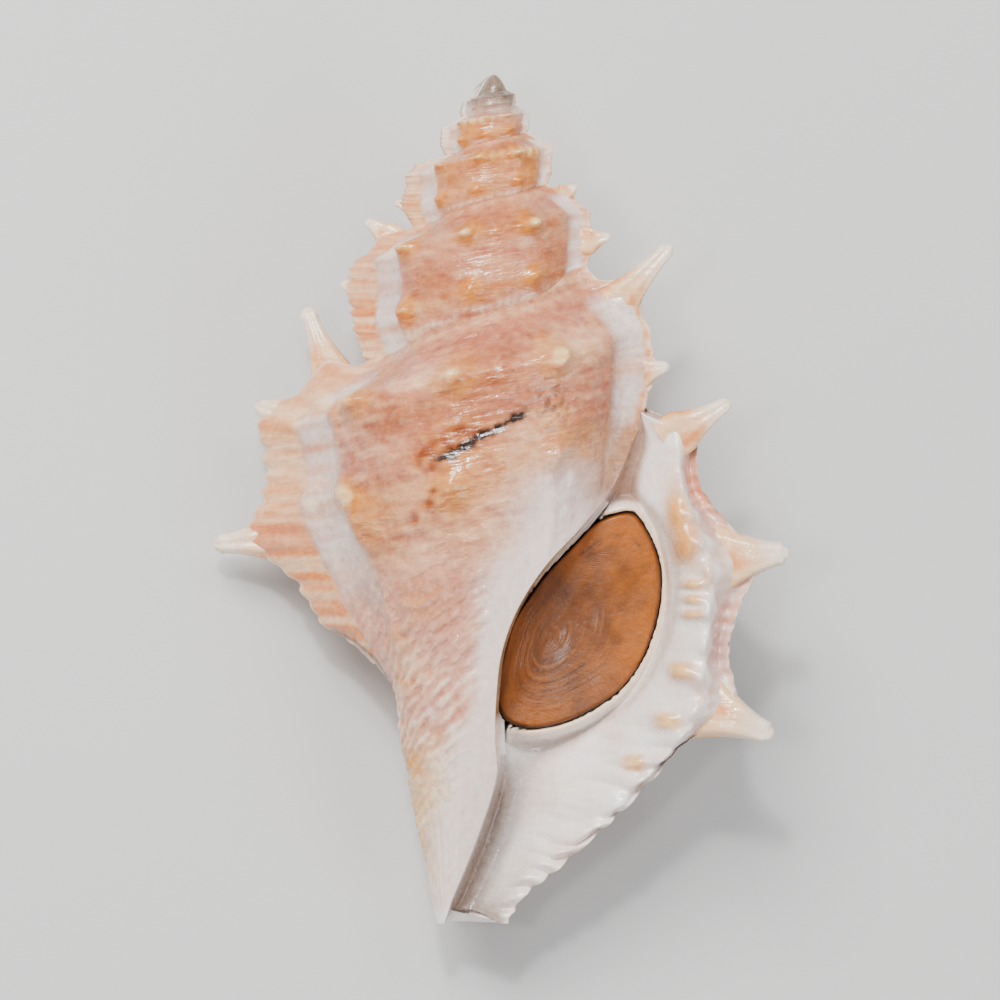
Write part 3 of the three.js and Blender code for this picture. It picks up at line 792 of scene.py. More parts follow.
def base_parts():
    """Points, growth angles, depths and faces of the last whorl's base, its canal and the canal's end."""
    turns = strip_turns()
    last = turns[turns >= -1]
    t, v = np.meshgrid(last, np.linspace(0, 1, BASE_ROWS + 1), indexing="ij")
    t = t.ravel()
    v = v.ravel()
    h = lerp(suture(t + 1), CANAL_END, v)
    edge = suture(np.zeros(1))[0]
    first = np.tile(columella_turn(np.linspace(edge, CANAL_END, BASE_ROWS + 1)), len(last))
    t = np.where(t < -0.5, lerp(first, -0.5, (t + 1) * 2), t)
    rough = surface_point(t, h)
    fade = step(v, 0, 0.06) * step(1 - v, 0, 0.03) * (1 - step(np.abs(t), 0.012, 0.0))
    fade *= step(columella_distance(rough), 0.1, 1.0) + (rough[:, 2] < 0)
    p = surface_point(t, h, relief(rough, t, h) * unit(fade))
    parts = [(p, t, h, grid_faces(len(last), BASE_ROWS + 1))]

    # The canal's end is a shallow cup inside the base's last ring
    ring = p.reshape(len(last), BASE_ROWS + 1, 3)[:, -1]
    middle = ring.mean(0) - [0, 1.2, 0]
    shares = np.linspace(1, 0, 6)[:, None, None]
    cup = middle + (ring[None] - middle) * shares
    cup = cup.reshape(-1, 3)
    parts.append((cup, np.full(len(cup), -0.6), np.full(len(cup), 56.0), grid_faces(6, len(ring))))
    return parts


def face_part():
    """The face from the columella to the lip: points, places across, stations, lengths along, faces."""
    dense, _, length = lip_edge(2000)
    along = np.linspace(0, length[-1], FACE_ROWS)
    depth = np.interp(along, length, dense)
    station = at([[row[0], i] for i, row in enumerate(LIP_EDGE)], depth)
    numbers = np.arange(len(LIP_EDGE))
    inner_h = at([[i, row[0]] for i, row in zip(numbers, COLUMELLA_EDGE)], station)
    lines = [surface_point(columella_turn(inner_h), inner_h)]
    for line in [PIT_LEFT, PIT_RIGHT, PIT_RIM, TOOTH_RIDGE]:
        lines.append(curve([[i] + row for i, row in zip(numbers, line)], station))
    lip = surface_point(np.zeros(FACE_ROWS), depth)
    trough = lerp(lines[-1], lip, 0.6)
    trough[:, 2] -= TROUGH_DEPTH * (1 - step(station, CANAL_STATION - 1, CANAL_STATION + 0.5))
    lines = np.stack(lines + [trough, lip], 1)
    p, place = across_lines(lines)
    columns = len(p) // FACE_ROWS
    quads = grid_faces(FACE_ROWS, columns)
    return p, place, np.repeat(station, columns), np.repeat(along, columns), quads


def operculum_rim(sectors):
    """Points x, h round the operculum's outline."""
    outline = np.array(OPERCULUM_OUTLINE + OPERCULUM_OUTLINE[:1], float)
    doubled = np.concatenate([outline[-4:-1], outline, outline[1:4]])
    table = np.column_stack([np.arange(-3, len(outline) + 3), doubled])
    return curve(table.tolist(), np.linspace(0, len(outline) - 1, sectors, endpoint=False))


def outside_operculum(p):
    """Distance of points p outside the operculum's outline, seen from the front; 0 inside it."""
    rim = operculum_rim(240)
    away = np.hypot(p[:, None, 0] - rim[None, :, 0], p[:, None, 1] - rim[None, :, 1]).min(1)
    inside = np.zeros(len(p), bool)
    for a, b in zip(rim, np.roll(rim, -1, 0)):
        crosses = (a[1] > p[:, 1]) != (b[1] > p[:, 1])
        rise = b[1] - a[1] if b[1] != a[1] else 1e-9
        inside ^= crosses & (p[:, 0] < a[0] + (p[:, 1] - a[1]) / rise * (b[0] - a[0]))
    return np.where(inside, 0, away)


def across_lines(lines):
    """Points across the face, smooth through its lines without overshoot, and their place from 0 to 6."""
    shares = [9, 8, 14, 12, 16, 14]
    place = [0.0]
    for n, count in enumerate(shares):
        place.extend(n + (np.arange(count) + 1) / count)
    place = np.array(place)
    spans = np.diff(lines, axis=1)
    slopes = np.zeros_like(lines)
    a = spans[:, :-1]
    b = spans[:, 1:]
    same = a * b > 0
    slopes[:, 1:-1] = np.where(same, 2 * a * b / np.where(same, a + b, 1), 0)
    slopes[:, 0] = spans[:, 0]
    slopes[:, -1] = spans[:, -1]
    n = np.clip(np.ceil(place).astype(int) - 1, 0, 5)
    u = (place - n)[None, :, None]
    rise = slopes[:, n]
    fall = slopes[:, n + 1]
    gap = lines[:, n + 1] - lines[:, n]
    p = lines[:, n] + u * (rise + u * (3 * gap - 2 * rise - fall + u * (rise + fall - 2 * gap)))
    return p.reshape(-1, 3), np.tile(place, len(lines))


def tooth_share(p, power):
    share = np.zeros(len(p))
    for x, h, long, wide, _ in TEETH:
        share += np.exp(-(np.abs((p[:, 0] - x) / wide) ** power) - np.abs((p[:, 1] - h) / long) ** power)
    return unit(share)


def flute_wave(p, place, along):
    """The flutes of the lower lip: 0 in the folds between them and 1 along their crests."""
    return np.abs(np.cos(math.pi * along / FLUTE_LENGTH + 0.3 * (6 - place) + 0.9 * wander(p, 6, 43)))


def face_relief(p, place, station, along):
    """Teeth, knobs, rim and flutes of the face, in millimetres towards the viewer."""
    raised = np.zeros(len(p))
    for x, h, long, wide, high in TEETH:
        tooth = np.exp(-(np.abs((p[:, 0] - x) / wide) ** 2.6) - np.abs((p[:, 1] - h) / long) ** 2.6)
        raised += 1.3 * high * tooth
    middle = step(station, 1, 2.5) * (1 - step(station, 8, 9.5))
    knobs = 0.45 + 0.55 * np.cos(math.tau * along / KNOB_LENGTH)
    raised += 0.6 * bump(place - 4, 0.2) * knobs * middle
    low = step(station, 6.8, 8.6) * (1 - step(station, 12.6, 13))
    uneven = 0.5 * wander(p, 6, 43)
    outer = step(place, 2.8, 4.7) * (1 - step(place, 5.93, 6.0))
    raised += low * outer * (0.9 * (flute_wave(p, place, along) - 0.5))
    inside = step(place, 3.2, 3.6) * (1 - step(place, 5.8, 6))
    raised += inside * (0.12 * wander(p, 3.5, 41) + 0.05 * wander(p, 1.1, 42))
    near = near_lip_spine(p, 2.0)
    raised += 0.7 * near * step(place, 4.0, 4.8) * (1 - step(place, 5.9, 6))
    ribs = (1 - near) * (np.cos(math.tau * along / RIB_LENGTH + 2 * uneven) + wander(p, 1.3, 44))
    ribbed = step(place, 4.3, 4.7) * (1 - step(place, 5.8, 6)) * (1 - low) * step(station, 0.8, 2)
    raised += 0.09 * ribbed * ribs

    # A collar round the operculum, on the aperture's right and lower walls
    away = outside_operculum(p)
    collar = 2.15 - 0.35 * step(away, 0.45, 0.85) - 3.2 * np.clip(away - 0.85, 0, None)
    collar = np.where((away > 0.14) & (place > 1.0) & (station < 9.5), collar, -99)
    ledge = np.where((away > 0.14) & (place < 1.0) & (station > 2.3) & (station < 8.5), 1.75, -99)
    return np.maximum(raised, np.maximum(collar, ledge) - p[:, 2]), away


def lip_layers(p, place, station, along, patch):
    """White inside the lip, pink and cream ribs outside it, cream spines, and folds between the flutes."""
    broad = wander(p, 6, 52)
    upper = step(station, 0.6, 2) * (1 - step(station, 7.0, 8.4))
    scallop = 0.13 * np.cos(math.tau * along / KNOB_LENGTH)
    near = near_lip_spine(p, 2.0)
    outside = step(place - scallop, 4.16, 4.34) * (1 - 0.85 * near) * upper
    ribs = 0.5 + 0.5 * np.cos(math.tau * along / RIB_LENGTH + wander(p, 6, 43))
    spine = near * upper
    top = bump(station - 1.9, 0.9) * step(place, 4.3, 4.9)
    flutes = flute_wave(p, place, along)
    edge = step(station, 8.6, 9.6) * step(place, 4.8, 5.9)
    folds = step(station, 8.6, 9.6) * step(place, 2.8, 4.7) * (1 - step(flutes, 0, 0.5))
    beside = bump(place - 3.75, 0.28) * step(station, 1.4, 2.2) * (1 - step(station, 4.1, 4.6))
    return [
        (CALLUS_WHITE, 0.5 + 0.5 * broad),
        (LIP_PINK, outside * (0.9 + 0.15 * broad)),
        (FLANGE_PALE, step(place, 5.35, 6) * upper * 0.5),
        (LIP_WHITE, outside * 0.5 * ribs * unit(0.5 + patch)),
        (FLANGE_ORANGE, outside * 0.35 * unit(patch)),
        (SPINE_CREAM, spine * step(place, 4.1, 4.7)),
        (FLANGE_ORANGE, 0.4 * spine * step(place, 4.6, 5.4) * unit(patch)),
        (FLANGE_ORANGE, 0.5 * top),
        (CANAL_CREAM, 0.35 * edge * (0.7 + 0.4 * patch) * (0.4 + 0.6 * flutes)),
        (STRIP_WHITE, 0.7 * folds),
        (TOOTH_AMBER, tooth_share(p, 3)),
        (PALE_TIP_AND_HIGHLIGHT, 0.75 * step(tooth_share(p, 2), 0.55, 0.9) * (p[:, 1] > 44)),
        (TOOTH_AMBER, 0.75 * beside * unit(0.75 + 0.5 * patch)),
    ]


def aperture_layers(place, station, away, patch):
    """The aperture and its collar, the valley above it and the canal below, with painted shade in the gap
    round the operculum, on the collar's outer slope and along the canal.
    """
    upper = step(station, 0.6, 2) * (1 - step(station, 7.0, 8.4))
    shade = bump(away - 1.35, 0.35) * (place > 1.2) * (place < 3.9) * (station < 9.3)
    collar = step(away, 0.1, 0.2) * (1 - step(away, 0.9, 1.15)) * (place > 1.0) * (station < 9.3)
    # painted shade in the narrow gap round the operculum
    gap_shade = step(place, 0.6, 1) * (1 - step(away, 0.05, 0.14)) * step(station, 2.2, 2.6) * (station < 9)
    valley = (1 - step(place, 2.4, 3.2)) * (1 - step(station, 1.9, 2.6))
    # painted shade along the canal, darkest under the columella's edge
    shaded_canal = step(place, 0.02, 0.25) * (1 - step(place, 0.9, 3.7)) * step(station, 8.1, 9.4)
    # painted shade at the canal's end
    end = step(station, 10.8, 13) * step(place, 0.2, 1.2) * (1 - step(place, 3.2, 5.4))
    wall = (1 - step(place, 0.12, 0.3)) * step(station, 2.4, 3) * (1 - step(station, 8, 9))
    beside = step(station, 2.2, 2.8) * (1 - step(station, 7.6, 9.4))
    return [
        (VALLEY_TAN, 0.4 * shade),
        (PIT_SHADE_BROWN, 0.95 * gap_shade),
        (VALLEY_TAN, 0.75 * valley),
        (CANAL_SHADE_GREY, 0.9 * shaded_canal),
        (CANAL_SHADE_GREY, 0.7 * end),
        (CALLUS_WHITE, 0.8 * wall),
        (CANAL_CREAM, 0.7 * (1 - step(place, 0.3, 0.6)) * step(station, 2.4, 3.5) * beside),
        (VALLEY_TAN, 0.5 * bump(away - 0.25, 0.15) * (place < 1) * beside),
        (CALLUS_WHITE, 0.95 * collar),
        (CANAL_CREAM, 0.55 * collar * bump(away - 0.2, 0.35)),
        (TOOTH_AMBER, 0.3 * bump(place - 4, 0.16) * upper * unit(0.6 + patch)),
    ]


def face_tint(p, place, station, along, away):
    """Colours of the face."""
    patch = wander(p, 2.4, 53)
    layers = lip_layers(p, place, station, along, patch)
    return painted(p, LIP_WHITE, layers + aperture_layers(place, station, away, patch))


def spine_part(foot, tip, wide, fine, seed):
    """A spine: a turned form with a groove in front, fine ridges along it and a blunt tip."""
    foot = np.array(foot)
    along = np.array(tip) - foot
    length = np.linalg.norm(along)
    along /= length
    side = np.cross(along, [0, 0, 1.0])
    side /= np.linalg.norm(side)
    front = np.cross(side, along)
    stem = np.linspace(-SPINE_ROOT, length - fine, 22)
    radii = at(SPINE_PROFILE, stem / length) * wide
    radii = np.maximum(radii, fine * (1 + 0.08 * np.sin(stem * 3 + seed)))
    cap = np.radians([15, 35, 55, 72, 84])
    stem = np.concatenate([stem, length - fine + fine * np.sin(cap)])
    radii = np.concatenate([radii, fine * np.cos(cap)])
    angles = np.linspace(0, math.tau, 28, endpoint=False)
    groove = np.exp(-(((angles - math.pi / 2) / 0.42) ** 2))
    ridges = 1 + 0.07 * np.cos(7 * angles + seed) - 0.28 * groove
    y, a = np.meshgrid(stem, angles, indexing="ij")
    r = radii[:, None] * ridges[None, :]
    bow = 0.1 * np.sin(math.pi * unit(y / length))[..., None] * front * fine * 3
    p = foot + y[..., None] * along + (r * np.cos(a))[..., None] * side + bow
    p = p + (r * np.sin(a) * at(SPINE_FLATNESS, y / length))[..., None] * front
    p = p.reshape(-1, 3)
    rows = len(stem)
    count = len(angles)
    last = (rows - 1) * count + np.arange(count)
    after = np.roll(last, -1)
    tip_faces = np.column_stack([last, np.full(count, len(p)), after, after])
    quads = np.concatenate([ring_faces(rows, count), tip_faces])
    p = np.concatenate([p, [foot + along * length]])
    reach = np.append(np.repeat(stem, count), length) / length
    fine_noise = wander(p, 1.3, 61 + seed)
    around = np.append(np.tile(angles, rows), 0)
    band = unit(np.cos(3 * around + seed) + 0.4 * fine_noise)
    tint = painted(p, FLANGE_PALE, [
        (FLANGE_ORANGE, 0.75 * (1 - step(reach, 0.15, 0.85)) * band),
        (SPINE_CREAM, step(reach, 0.2, 0.85) * (0.8 + 0.2 * fine_noise)),
    ])
    return p, tint, reach, quads


def world_points(p):
    """Points in the shell's own frame, x, h and z in millimetres, as places in the scene in metres."""
    turn = np.array(REST_TURN)
    placed = (p * [1, -1, 1]) @ turn.T + np.array(REST_SHIFT)
    return placed / 1000


def facing_out(p, quads):
    """The faces of a closed form, turned round if they face in."""
    a = p[quads[:, 0]]
    b = p[quads[:, 1]]
    c = p[quads[:, 2]]
    d = p[quads[:, 3]]
    from_middle = a - p.mean(0)
    normals = np.cross(b - a, c - a) + np.cross(c - a, d - a)
    volume = (normals * from_middle).sum()
    return quads if volume > 0 else quads[:, ::-1]


def make_mesh(name, p, quads, floats, tint, material):
    """A smooth mesh with colours and other values at its points, its quads cut at the short diagonal."""
    first = np.linalg.norm(p[quads[:, 0]] - p[quads[:, 2]], axis=1)
    second = np.linalg.norm(p[quads[:, 1]] - p[quads[:, 3]], axis=1)
    quads = np.where((second < 0.8 * first)[:, None], np.roll(quads, -1, axis=1), quads)
    polygons = [list(dict.fromkeys(quad)) for quad in quads.tolist()]
    polygons = [polygon for polygon in polygons if len(polygon) > 2]
    mesh = bpy.data.meshes.new(name)
    mesh.from_pydata(p.tolist(), [], polygons)
    mesh.update()
    mesh.shade_smooth()
    colour = mesh.attributes.new("tint", "FLOAT_COLOR", "POINT")
    colour.data.foreach_set("color", np.column_stack([tint, np.ones(len(p))]).astype(np.float32).ravel())
    for label, values in floats.items():
        values = np.asarray(values, np.float32)
        kind, field = ("FLOAT", "value") if values.ndim == 1 else ("FLOAT_VECTOR", "vector")
        mesh.attributes.new(label, kind, "POINT").data.foreach_set(field, values.ravel())
    mesh.materials.append(material)
    piece = bpy.data.objects.new(name, mesh)
    bpy.context.scene.collection.objects.link(piece)
    return piece


def joined_mesh(name, parts, material, low_corner, high_corner):
    """One mesh from parts of points, colours, places in two weaves, shares and faces, kept in a box."""
    starts = np.cumsum([0] + [len(part[0]) for part in parts])
    points = world_points(np.concatenate([part[0] for part in parts]))
    points = np.clip(points, np.array(low_corner) + [1e-5, 1e-5, 0], np.array(high_corner) - 1e-5)
    faces = np.concatenate([part[6] + start for part, start in zip(parts, starts)])
    labels = ["weave", "low_weave", "low", "ribbed"]
    values = {label: np.concatenate([part[2 + i] for part in parts]) for i, label in enumerate(labels)}
    return make_mesh(name, points, faces, values, np.concatenate([part[1] for part in parts]), material)


def skin_mesh(name, skin, material, low_corner, high_corner):
    """A mesh of the shell's outside, from parts of points, growth angles, depths and faces."""
    parts = []
    for p, t, h, quads in skin:
        _, hollow, _ = varix_zones(t, h)
        upper, lower = cord_places(p, t, h)
        weave = upper / WEAVE
        low_weave = lower / LOW_WEAVE
        off = np.abs(t - np.round(2 * t) / 2) * 360
        ribbed = (1 - 0.85 * callus_share(p, t, h, 0)) * (1 - 0.6 * hollow) * step(off, 0.5, 2.5)
        tint = strip_tint(p, t, h)
        parts.append((crimped(spine_web(p)), tint, weave, low_weave, base_share(t, h), ribbed, quads))
    return joined_mesh(name, parts, material, low_corner, high_corner)


def body_mesh(material, low_corner, high_corner):
    return skin_mesh("shell_body", whorl_parts(), material, low_corner, high_corner)


def base_mesh(material, low_corner, high_corner):
    return skin_mesh("shell_base", base_parts(), material, low_corner, high_corner)


def mouth_mesh(material, low_corner, high_corner):
    p, place, station, along, quads = face_part()
    raised, away = face_relief(p, place, station, along)
    tint = face_tint(p, place, station, along, away)
    p = p + raised[:, None] * [0, 0, 1]
    weave = np.column_stack([along / 0.5, place * 2, np.zeros(len(p))])
    part = (crimped(spine_web(p)), tint, weave, weave, np.zeros(len(p)), np.full(len(p), 0.12), quads)
    return joined_mesh("shell_mouth", [part], material, low_corner, high_corner)


def spines_mesh(material, low_corner, high_corner):
    parts = []
    for seed, (foot, tip, wide, fine) in enumerate(SPINES):
        p, tint, reach, quads = spine_part(foot, tip, wide, fine, seed)
        p[:, 2] += LIP_SPINE_LIFT * (seed < LIP_SPINES) * (1 - 0.6 * step(reach, 0.2, 1))
        quads = facing_out(world_points(p), quads)
        weave = np.column_stack([p[:, 1] / 0.5, reach * 3, p[:, 2]])
        parts.append((p, tint, weave, weave, np.zeros(len(p)), np.full(len(p), 0.3), quads))
    return joined_mesh("shell_spines", parts, material, low_corner, high_corner)


def crimped(p):
    """Points near the lower part of the lip's edge drawn in and out, where the flutes end."""
    depth, lip, length = lip_edge(1200)
    moved = p.copy()
    near = np.flatnonzero((p[:, 1] > 36) & (p[:, 0] > -1) & (p[:, 2] > -3) & (p[:, 2] < 8))
    for part in np.array_split(near, max(1, len(near) // 4000)):
        away = np.linalg.norm(p[part, None] - lip[None], axis=2)
        closest = away.argmin(1)
        amount = bump(away.min(1), 1.3)
        along = length[closest]
        low = step(depth[closest], 56, 61) * (1 - step(depth[closest], 72, 74))
        uneven = 0.9 * wander(p[part], 6, 43)
        wave = low * 0.34 * (flute_wave(p[part], 6, along) - 0.6)
        fine_wave = np.cos(math.tau * along / RIB_LENGTH + uneven) + 0.8 * np.cos(along * 3.1)
        wave += (1 - low) * 0.09 * fine_wave
        moved[part, 0] += amount * wave * 0.85
        moved[part, 1] += amount * wave * 0.5 * low
    return moved


def operculum_mesh(material):
    """The operculum: a thin plate whose growth rings spread from a nucleus near its lower left."""
    sectors = 200
    rim = operculum_rim(sectors)
    nucleus = np.array(OPERCULUM_NUCLEUS)
    shares = np.linspace(0, 1, 90)[1:]
    top = OPERCULUM_LEVEL + OPERCULUM_THICKNESS
    points = [np.array([[nucleus[0], nucleus[1], top - 0.34]])]
    places = [np.zeros(1)]
    for share in shares:
        ring = nucleus + (rim - nucleus) * share
        swirl = 0.35 * np.sin(math.pi * share) * np.array([1.0, -1.0])
        ring = ring + swirl
        flat = np.column_stack([ring, np.zeros(sectors)])
        uneven = 0.008 * wander(flat, 6, 71)
        wave = share * 13 + 0.9 * math.sin(11 * share) + 40 * uneven
        saw = wave - np.floor(wave)
        side = 0.35 + 0.65 * step((flat[:, 1] - 50) * 0.8 - (flat[:, 0] - 5), -6, 5)
        steps = side * (0.035 * (saw**2 - 0.4) + 0.012 * np.sin(math.tau * share * 53 + 3 * uneven))
        dome = -0.3 * (1 - share) ** 1.6 + 0.04 * wander(flat, 4, 72)
        fall = -0.3 * step(np.full(sectors, share), 0.965, 1.0)
        z = top - 0.06 + dome + steps * (1 - 0.5 * share) + fall
        points.append(np.column_stack([ring, np.minimum(z, top)]))
        places.append(share + uneven)
    for level in [OPERCULUM_LEVEL + 0.3, OPERCULUM_LEVEL]:
        inset = 1.0 if level > OPERCULUM_LEVEL else 0.97
        points.append(np.column_stack([nucleus + (rim - nucleus) * inset, np.full(sectors, level)]))
        places.append(np.full(sectors, 1.02))
    points.append(np.array([[nucleus[0], nucleus[1], OPERCULUM_LEVEL]]))
    places.append(np.full(1, 1.02))
    p = np.concatenate(points)
    place = np.concatenate(places)
    rings = len(shares) + 2
    first = 1 + np.arange(sectors)
    after = np.roll(first, -1)
    middle = np.column_stack([np.zeros(sectors, int), first, after, after])
    below = (rings - 1) * sectors
    under = np.column_stack([np.full(sectors, len(p) - 1), below + after, below + first, below + first])
    quads = np.concatenate([1 + ring_faces(rings, sectors), middle, under])
    placed = world_points(p)
    quads = facing_out(placed, quads)
    return make_mesh("operculum_plate", placed, quads, {"ring": place}, operculum_tint(p, place), material)


def operculum_tint(p, place):
    """Colours of the operculum: amber and brown rings, a darker middle and a scratch."""
    broad = wander(p, 7, 73)
    patch = wander(p, 2.5, 74)
    low_left = step((p[:, 1] - 50) * 0.8 - (p[:, 0] - 5), -6, 5)
    darker = unit(np.sin(place * 29 + 2 * np.sin(place * 11) + 0.9 * broad)) ** 2
    arcs = unit(np.sin(place * 62 + 2.5 * np.sin(place * 9) + broad)) ** 3
    arcs *= unit(0.5 + patch)
    scratch = near_line(p, SCRATCH, 0.16)
    return painted(p, OPERCULUM_AMBER, [
        (OPERCULUM_CENTRE, 0.7 * bump(place - 0.15, 0.42)),
        (OPERCULUM_BROWN, 0.3 + 0.3 * patch + 0.2 * broad - 0.35 * step(place, 0.6, 0.95)),
        (OPERCULUM_BROWN, darker * (0.15 + 0.35 * low_left)),
        (OPERCULUM_PALE, arcs * (0.05 + 0.4 * low_left) * (1 - step(place, 0.75, 0.95))),
        (OPERCULUM_BROWN, 0.25 * step(p[:, 1] - 0.3 * p[:, 0], 46, 54)),
        (OPERCULUM_BROWN, 0.55 * near_spot(p, 4.5, 46, 2.6)),
        (OPERCULUM_EDGE, 0.6 * scratch * unit(0.5 + wander(p, 1.5, 75))),
        (OPERCULUM_EDGE, 0.85 * step(place, 0.968, 1.0)),
    ])


def node(tree, kind, **settings):
    made = tree.nodes.new(kind)
    for key, value in settings.items():
        setattr(made, key, value)
    return made


def set_inputs(made, values):
    """Sets a node's own values, by the names of its sockets."""
    for name, value in values.items():
        made.inputs[name].default_value = value


def connect(tree, socket, value):
    """Sets a socket to a number, or links it to another socket."""
    if isinstance(value, (int, float)):
        socket.default_value = value
    else:
        tree.links.new(value, socket)


def calculate(tree, operation, *values):
    """The result of a node for one sum of numbers or sockets."""
    made = node(tree, "ShaderNodeMath", operation=operation)
    for socket, value in zip(made.inputs, values):
        connect(tree, socket, value)
    return made.outputs[0]


def blend_colours(tree, kind, share, a, b):
    """The result of a node that blends the colours of two sockets."""
    made = node(tree, "ShaderNodeMix", data_type="RGBA", blend_type=kind)
    connect(tree, made.inputs[0], share)
    connect(tree, made.inputs[6], a)
    connect(tree, made.inputs[7], b)
    return made.outputs[2]


def noise(tree, place, scale, detail, seed):
    made = node(tree, "ShaderNodeTexNoise", noise_dimensions="4D")
    set_inputs(made, {"W": seed, "Scale": scale, "Detail": detail, "Roughness": 0.6})
    connect(tree, made.inputs["Vector"], place)
    return made.outputs["Fac"]


def ranged(tree, value, limits):
    """A value carried from one range to another."""
    made = node(tree, "ShaderNodeMapRange")
    set_inputs(made, limits)
    connect(tree, made.inputs["Value"], value)
    return made.outputs["Result"]


def bumped(tree, height, distance, strength):
    """The normal of a surface raised by a height times a distance in metres."""
    made = node(tree, "ShaderNodeBump")
    set_inputs(made, {"Distance": distance, "Strength": strength})
    connect(tree, made.inputs["Height"], height)
    return made.outputs["Normal"]


def attribute(tree, name, output="Fac"):
    """The values kept at the mesh's points under a name."""
    return node(tree, "ShaderNodeAttribute", attribute_name=name).outputs[output]


def new_material(name):
    material = bpy.data.materials.new(name)
    material.use_nodes = True
    tree = material.node_tree
    surface = tree.nodes["Principled BSDF"]
    place = node(tree, "ShaderNodeTexCoord").outputs["Object"]
    return material, tree, surface, place


def shell_material():
    """Glossy shell: computed colours, mottling, broken spiral cords with grooves darkened partly as
    painted shade, and a thin clear glaze.
    """
    material, tree, surface, place = new_material("shell")
    coarse = noise(tree, place, 420, 4, 1.0)
    fine = noise(tree, place, 1500, 3, 2.0)
    speck = noise(tree, place, 3600, 2, 3.0)

    # Cords of the whorls, changed to those of the base where it is low
    cords = noise(tree, attribute(tree, "weave", "Vector"), 1.0, 2, 6.0)
    low_cords = noise(tree, attribute(tree, "low_weave", "Vector"), 1.0, 2, 7.0)
    change = calculate(tree, "SUBTRACT", low_cords, cords)
    change = calculate(tree, "MULTIPLY", change, attribute(tree, "low"))
    woven = calculate(tree, "SUBTRACT", calculate(tree, "ADD", cords, change), 0.5)
    woven = calculate(tree, "MULTIPLY", woven, attribute(tree, "ribbed"))

    # The cords' colour follows their relief: lighter crests and darker grooves, partly their own colour
    # and partly painted shade in the grooves
    light = calculate(tree, "MULTIPLY_ADD", woven, 0.85, 0.5)
    mottle = ranged(tree, fine, {"From Min": 0.35, "From Max": 0.7, "To Min": 0.33, "To Max": 0.66})
    tint = blend_colours(tree, "SOFT_LIGHT", 1.0, attribute(tree, "tint", "Color"), light)
    tint = blend_colours(tree, "SOFT_LIGHT", 0.8, tint, mottle)
    tint = blend_colours(tree, "OVERLAY", 0.18, tint, speck)
    height = calculate(tree, "MULTIPLY", woven, 1.9)
    height = calculate(tree, "ADD", height, calculate(tree, "MULTIPLY", fine, 0.5))
    height = calculate(tree, "ADD", height, calculate(tree, "MULTIPLY", coarse, 1.1))
    rough = ranged(tree, coarse, {"To Min": 0.17, "To Max": 0.38})
    connect(tree, surface.inputs["Base Color"], tint)
    connect(tree, surface.inputs["Normal"], bumped(tree, height, 0.00016, 0.9))
    connect(tree, surface.inputs["Coat Normal"], bumped(tree, height, 0.00012, 0.75))
    connect(tree, surface.inputs["Roughness"], rough)
    set_inputs(surface, {
        "Subsurface Weight": 0.12,
        "Subsurface Radius": (1.0, 0.55, 0.35),
        "Subsurface Scale": 0.0016,
        "Coat Weight": 0.6,
        "Coat Roughness": 0.07,
    })
    return material


def operculum_material():
    """Horny brown plate with fine growth rings."""
    material, tree, surface, place = new_material("operculum")
    coarse = noise(tree, place, 260, 5, 4.0)
    fine = noise(tree, place, 1900, 3, 5.0)
    turns = calculate(tree, "MULTIPLY", attribute(tree, "ring"), 420)
    turns = calculate(tree, "ADD", turns, calculate(tree, "MULTIPLY", coarse, 6))
    rings = calculate(tree, "SINE", turns)
    light = calculate(tree, "MULTIPLY_ADD", rings, 0.05, 0.5)
    tint = blend_colours(tree, "SOFT_LIGHT", 0.8, attribute(tree, "tint", "Color"), light)
    tint = blend_colours(tree, "OVERLAY", 0.45, tint, coarse)
    tint = blend_colours(tree, "OVERLAY", 0.25, tint, fine)
    height = calculate(tree, "ADD", calculate(tree, "MULTIPLY", rings, 0.06), fine)
    height = calculate(tree, "ADD", height, calculate(tree, "MULTIPLY", coarse, 1.5))
    connect(tree, surface.inputs["Base Color"], tint)
    connect(tree, surface.inputs["Normal"], bumped(tree, height, 0.0001, 0.8))
    set_inputs(surface, {
        "Roughness": 0.42,
        "Specular IOR Level": 0.3,
        "Subsurface Weight": 0.05,
        "Subsurface Scale": 0.0008,
        "Coat Weight": 0.12,
        "Coat Roughness": 0.15,
    })
    return material


def area_light(name, target, direction, distance, size, power, colour):
    """A round soft light that looks at the target."""
    lamp = bpy.data.lights.new(name, "AREA")
    lamp.shape = "DISK"
    lamp.size = size
    lamp.energy = power
    lamp.color = colour
    place = target + Vector(direction).normalized() * distance
    piece = bpy.data.objects.new(name, lamp)
    piece.location = place
    piece.rotation_euler = (target - place).to_track_quat("-Z", "Y").to_euler()
    bpy.context.scene.collection.objects.link(piece)
    return piece


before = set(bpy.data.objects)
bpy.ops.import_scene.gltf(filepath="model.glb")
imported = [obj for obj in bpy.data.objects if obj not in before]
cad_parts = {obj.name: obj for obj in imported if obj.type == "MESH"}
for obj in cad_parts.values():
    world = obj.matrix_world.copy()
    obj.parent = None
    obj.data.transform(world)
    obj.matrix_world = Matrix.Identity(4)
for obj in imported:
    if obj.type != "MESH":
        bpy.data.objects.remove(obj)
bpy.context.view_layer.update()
low_corner = [min(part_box("shell")[0][i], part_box("operculum")[0][i]) for i in range(3)]
high_corner = [max(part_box("shell")[1][i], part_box("operculum")[1][i]) for i in range(3)]

glazed = shell_material()
for make in [body_mesh, base_mesh, mouth_mesh, spines_mesh]:
    piece = make(glazed, low_corner, high_corner)
    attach(piece, "root")
    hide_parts("shell")
operculum = operculum_mesh(operculum_material())
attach(operculum, "root")
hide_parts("operculum")

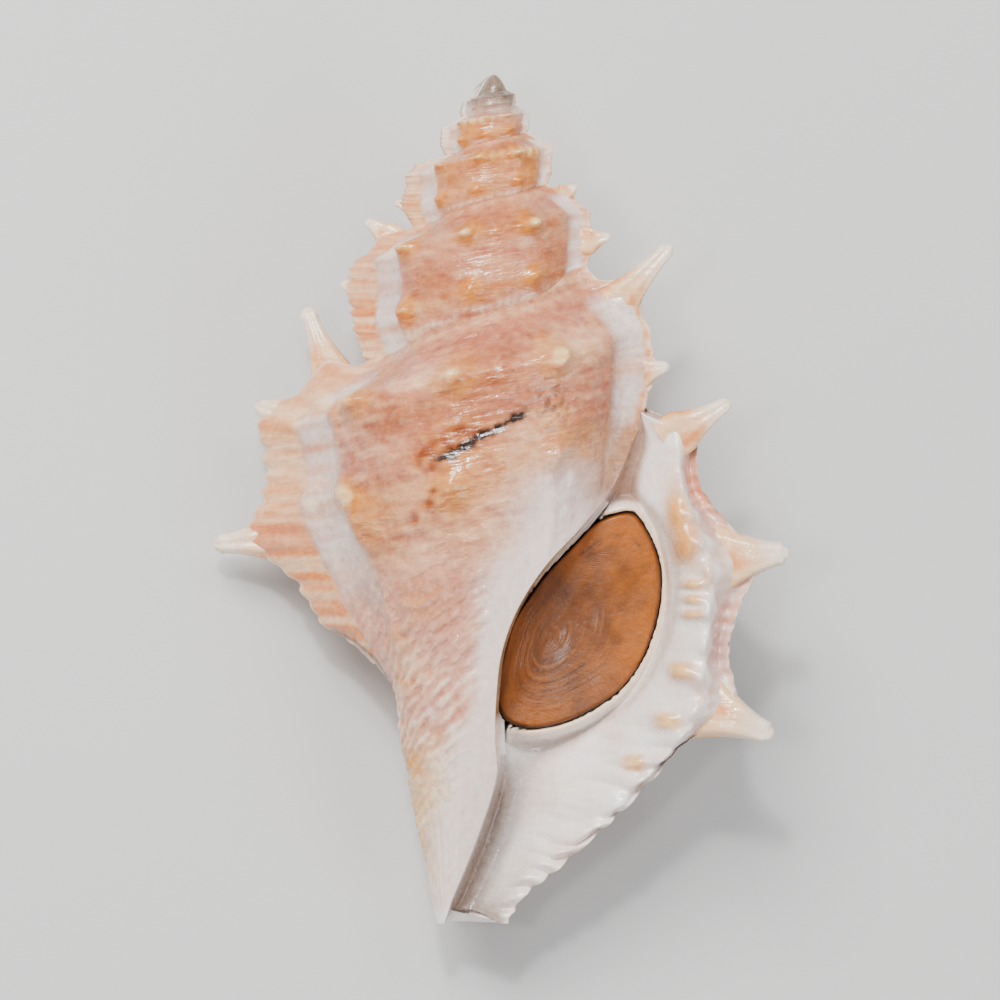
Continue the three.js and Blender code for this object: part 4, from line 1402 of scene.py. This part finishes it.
# Pale floor
FLOOR_REACH = 3
floor_mesh = bpy.data.meshes.new("floor")
floor_corners = [(-FLOOR_REACH, -FLOOR_REACH, 0), (FLOOR_REACH, -FLOOR_REACH, 0)]
floor_corners += [(FLOOR_REACH, FLOOR_REACH, 0), (-FLOOR_REACH, FLOOR_REACH, 0)]
floor_mesh.from_pydata(floor_corners, [], [(0, 1, 2, 3)])
floor_material = bpy.data.materials.new("floor")
floor_material.use_nodes = True
floor_surface = floor_material.node_tree.nodes["Principled BSDF"]
set_inputs(floor_surface, {"Base Color": (0.6, 0.6, 0.59, 1), "Roughness": 0.85})
floor_mesh.materials.append(floor_material)
floor = bpy.data.objects.new("floor", floor_mesh)
bpy.context.scene.collection.objects.link(floor)

# The photo looks straight into the aperture, with the apex up
VIEW_CENTRE = [0.53, 37.8, 3.0]
CAMERA_DISTANCE = 0.46
VIEW_WIDTH = 0.0879
target = Vector(world_points(np.array([VIEW_CENTRE]))[0])
towards = (REST_TURN @ Vector((0, 0, 1))).normalized()
upwards = (REST_TURN @ Vector((0, 1, 0))).normalized()
sideways = upwards.cross(towards).normalized()
lens = bpy.data.cameras.new("camera")
lens.sensor_width = 36
lens.lens = 36 * CAMERA_DISTANCE / VIEW_WIDTH
lens.clip_start = 0.01
camera = bpy.data.objects.new("camera", lens)
turned = Matrix((sideways, upwards, towards)).transposed().to_4x4()
camera.matrix_world = Matrix.Translation(target + towards * CAMERA_DISTANCE) @ turned
bpy.context.scene.collection.objects.link(camera)
bpy.context.scene.camera = camera

# Lights: name, direction from the shell, distance and size in metres, power in watts, colour
LIGHTS = [
    ("key", (-0.6, 0.8, 1.3), 0.45, 0.24, 3.0, (1.0, 0.985, 0.96)),
    ("spark", (-0.3, 0.5, 1.3), 0.45, 0.04, 0.9, (1.0, 1.0, 1.0)),
    ("low_spark", (-0.5, -0.1, 1.4), 0.45, 0.04, 0.35, (1.0, 1.0, 1.0)),
    ("fill", (0.9, -0.7, 0.9), 0.5, 0.3, 1.0, (0.97, 0.98, 1.0)),
    ("top", (0.35, 0.5, 1.0), 0.8, 0.3, 1.2, (1.0, 1.0, 1.0)),
    ("low", (-0.9, -0.8, 0.6), 0.5, 0.3, 0.5, (1.0, 0.97, 0.93)),
]
for name, direction, distance, size, power, colour in LIGHTS:
    area_light(name, target, direction, distance, size, power, colour)
world = bpy.data.worlds.new("world")
world.use_nodes = True
set_inputs(world.node_tree.nodes["Background"], {"Color": (0.9, 0.93, 1.0, 1), "Strength": 0.26})
bpy.context.scene.world = world
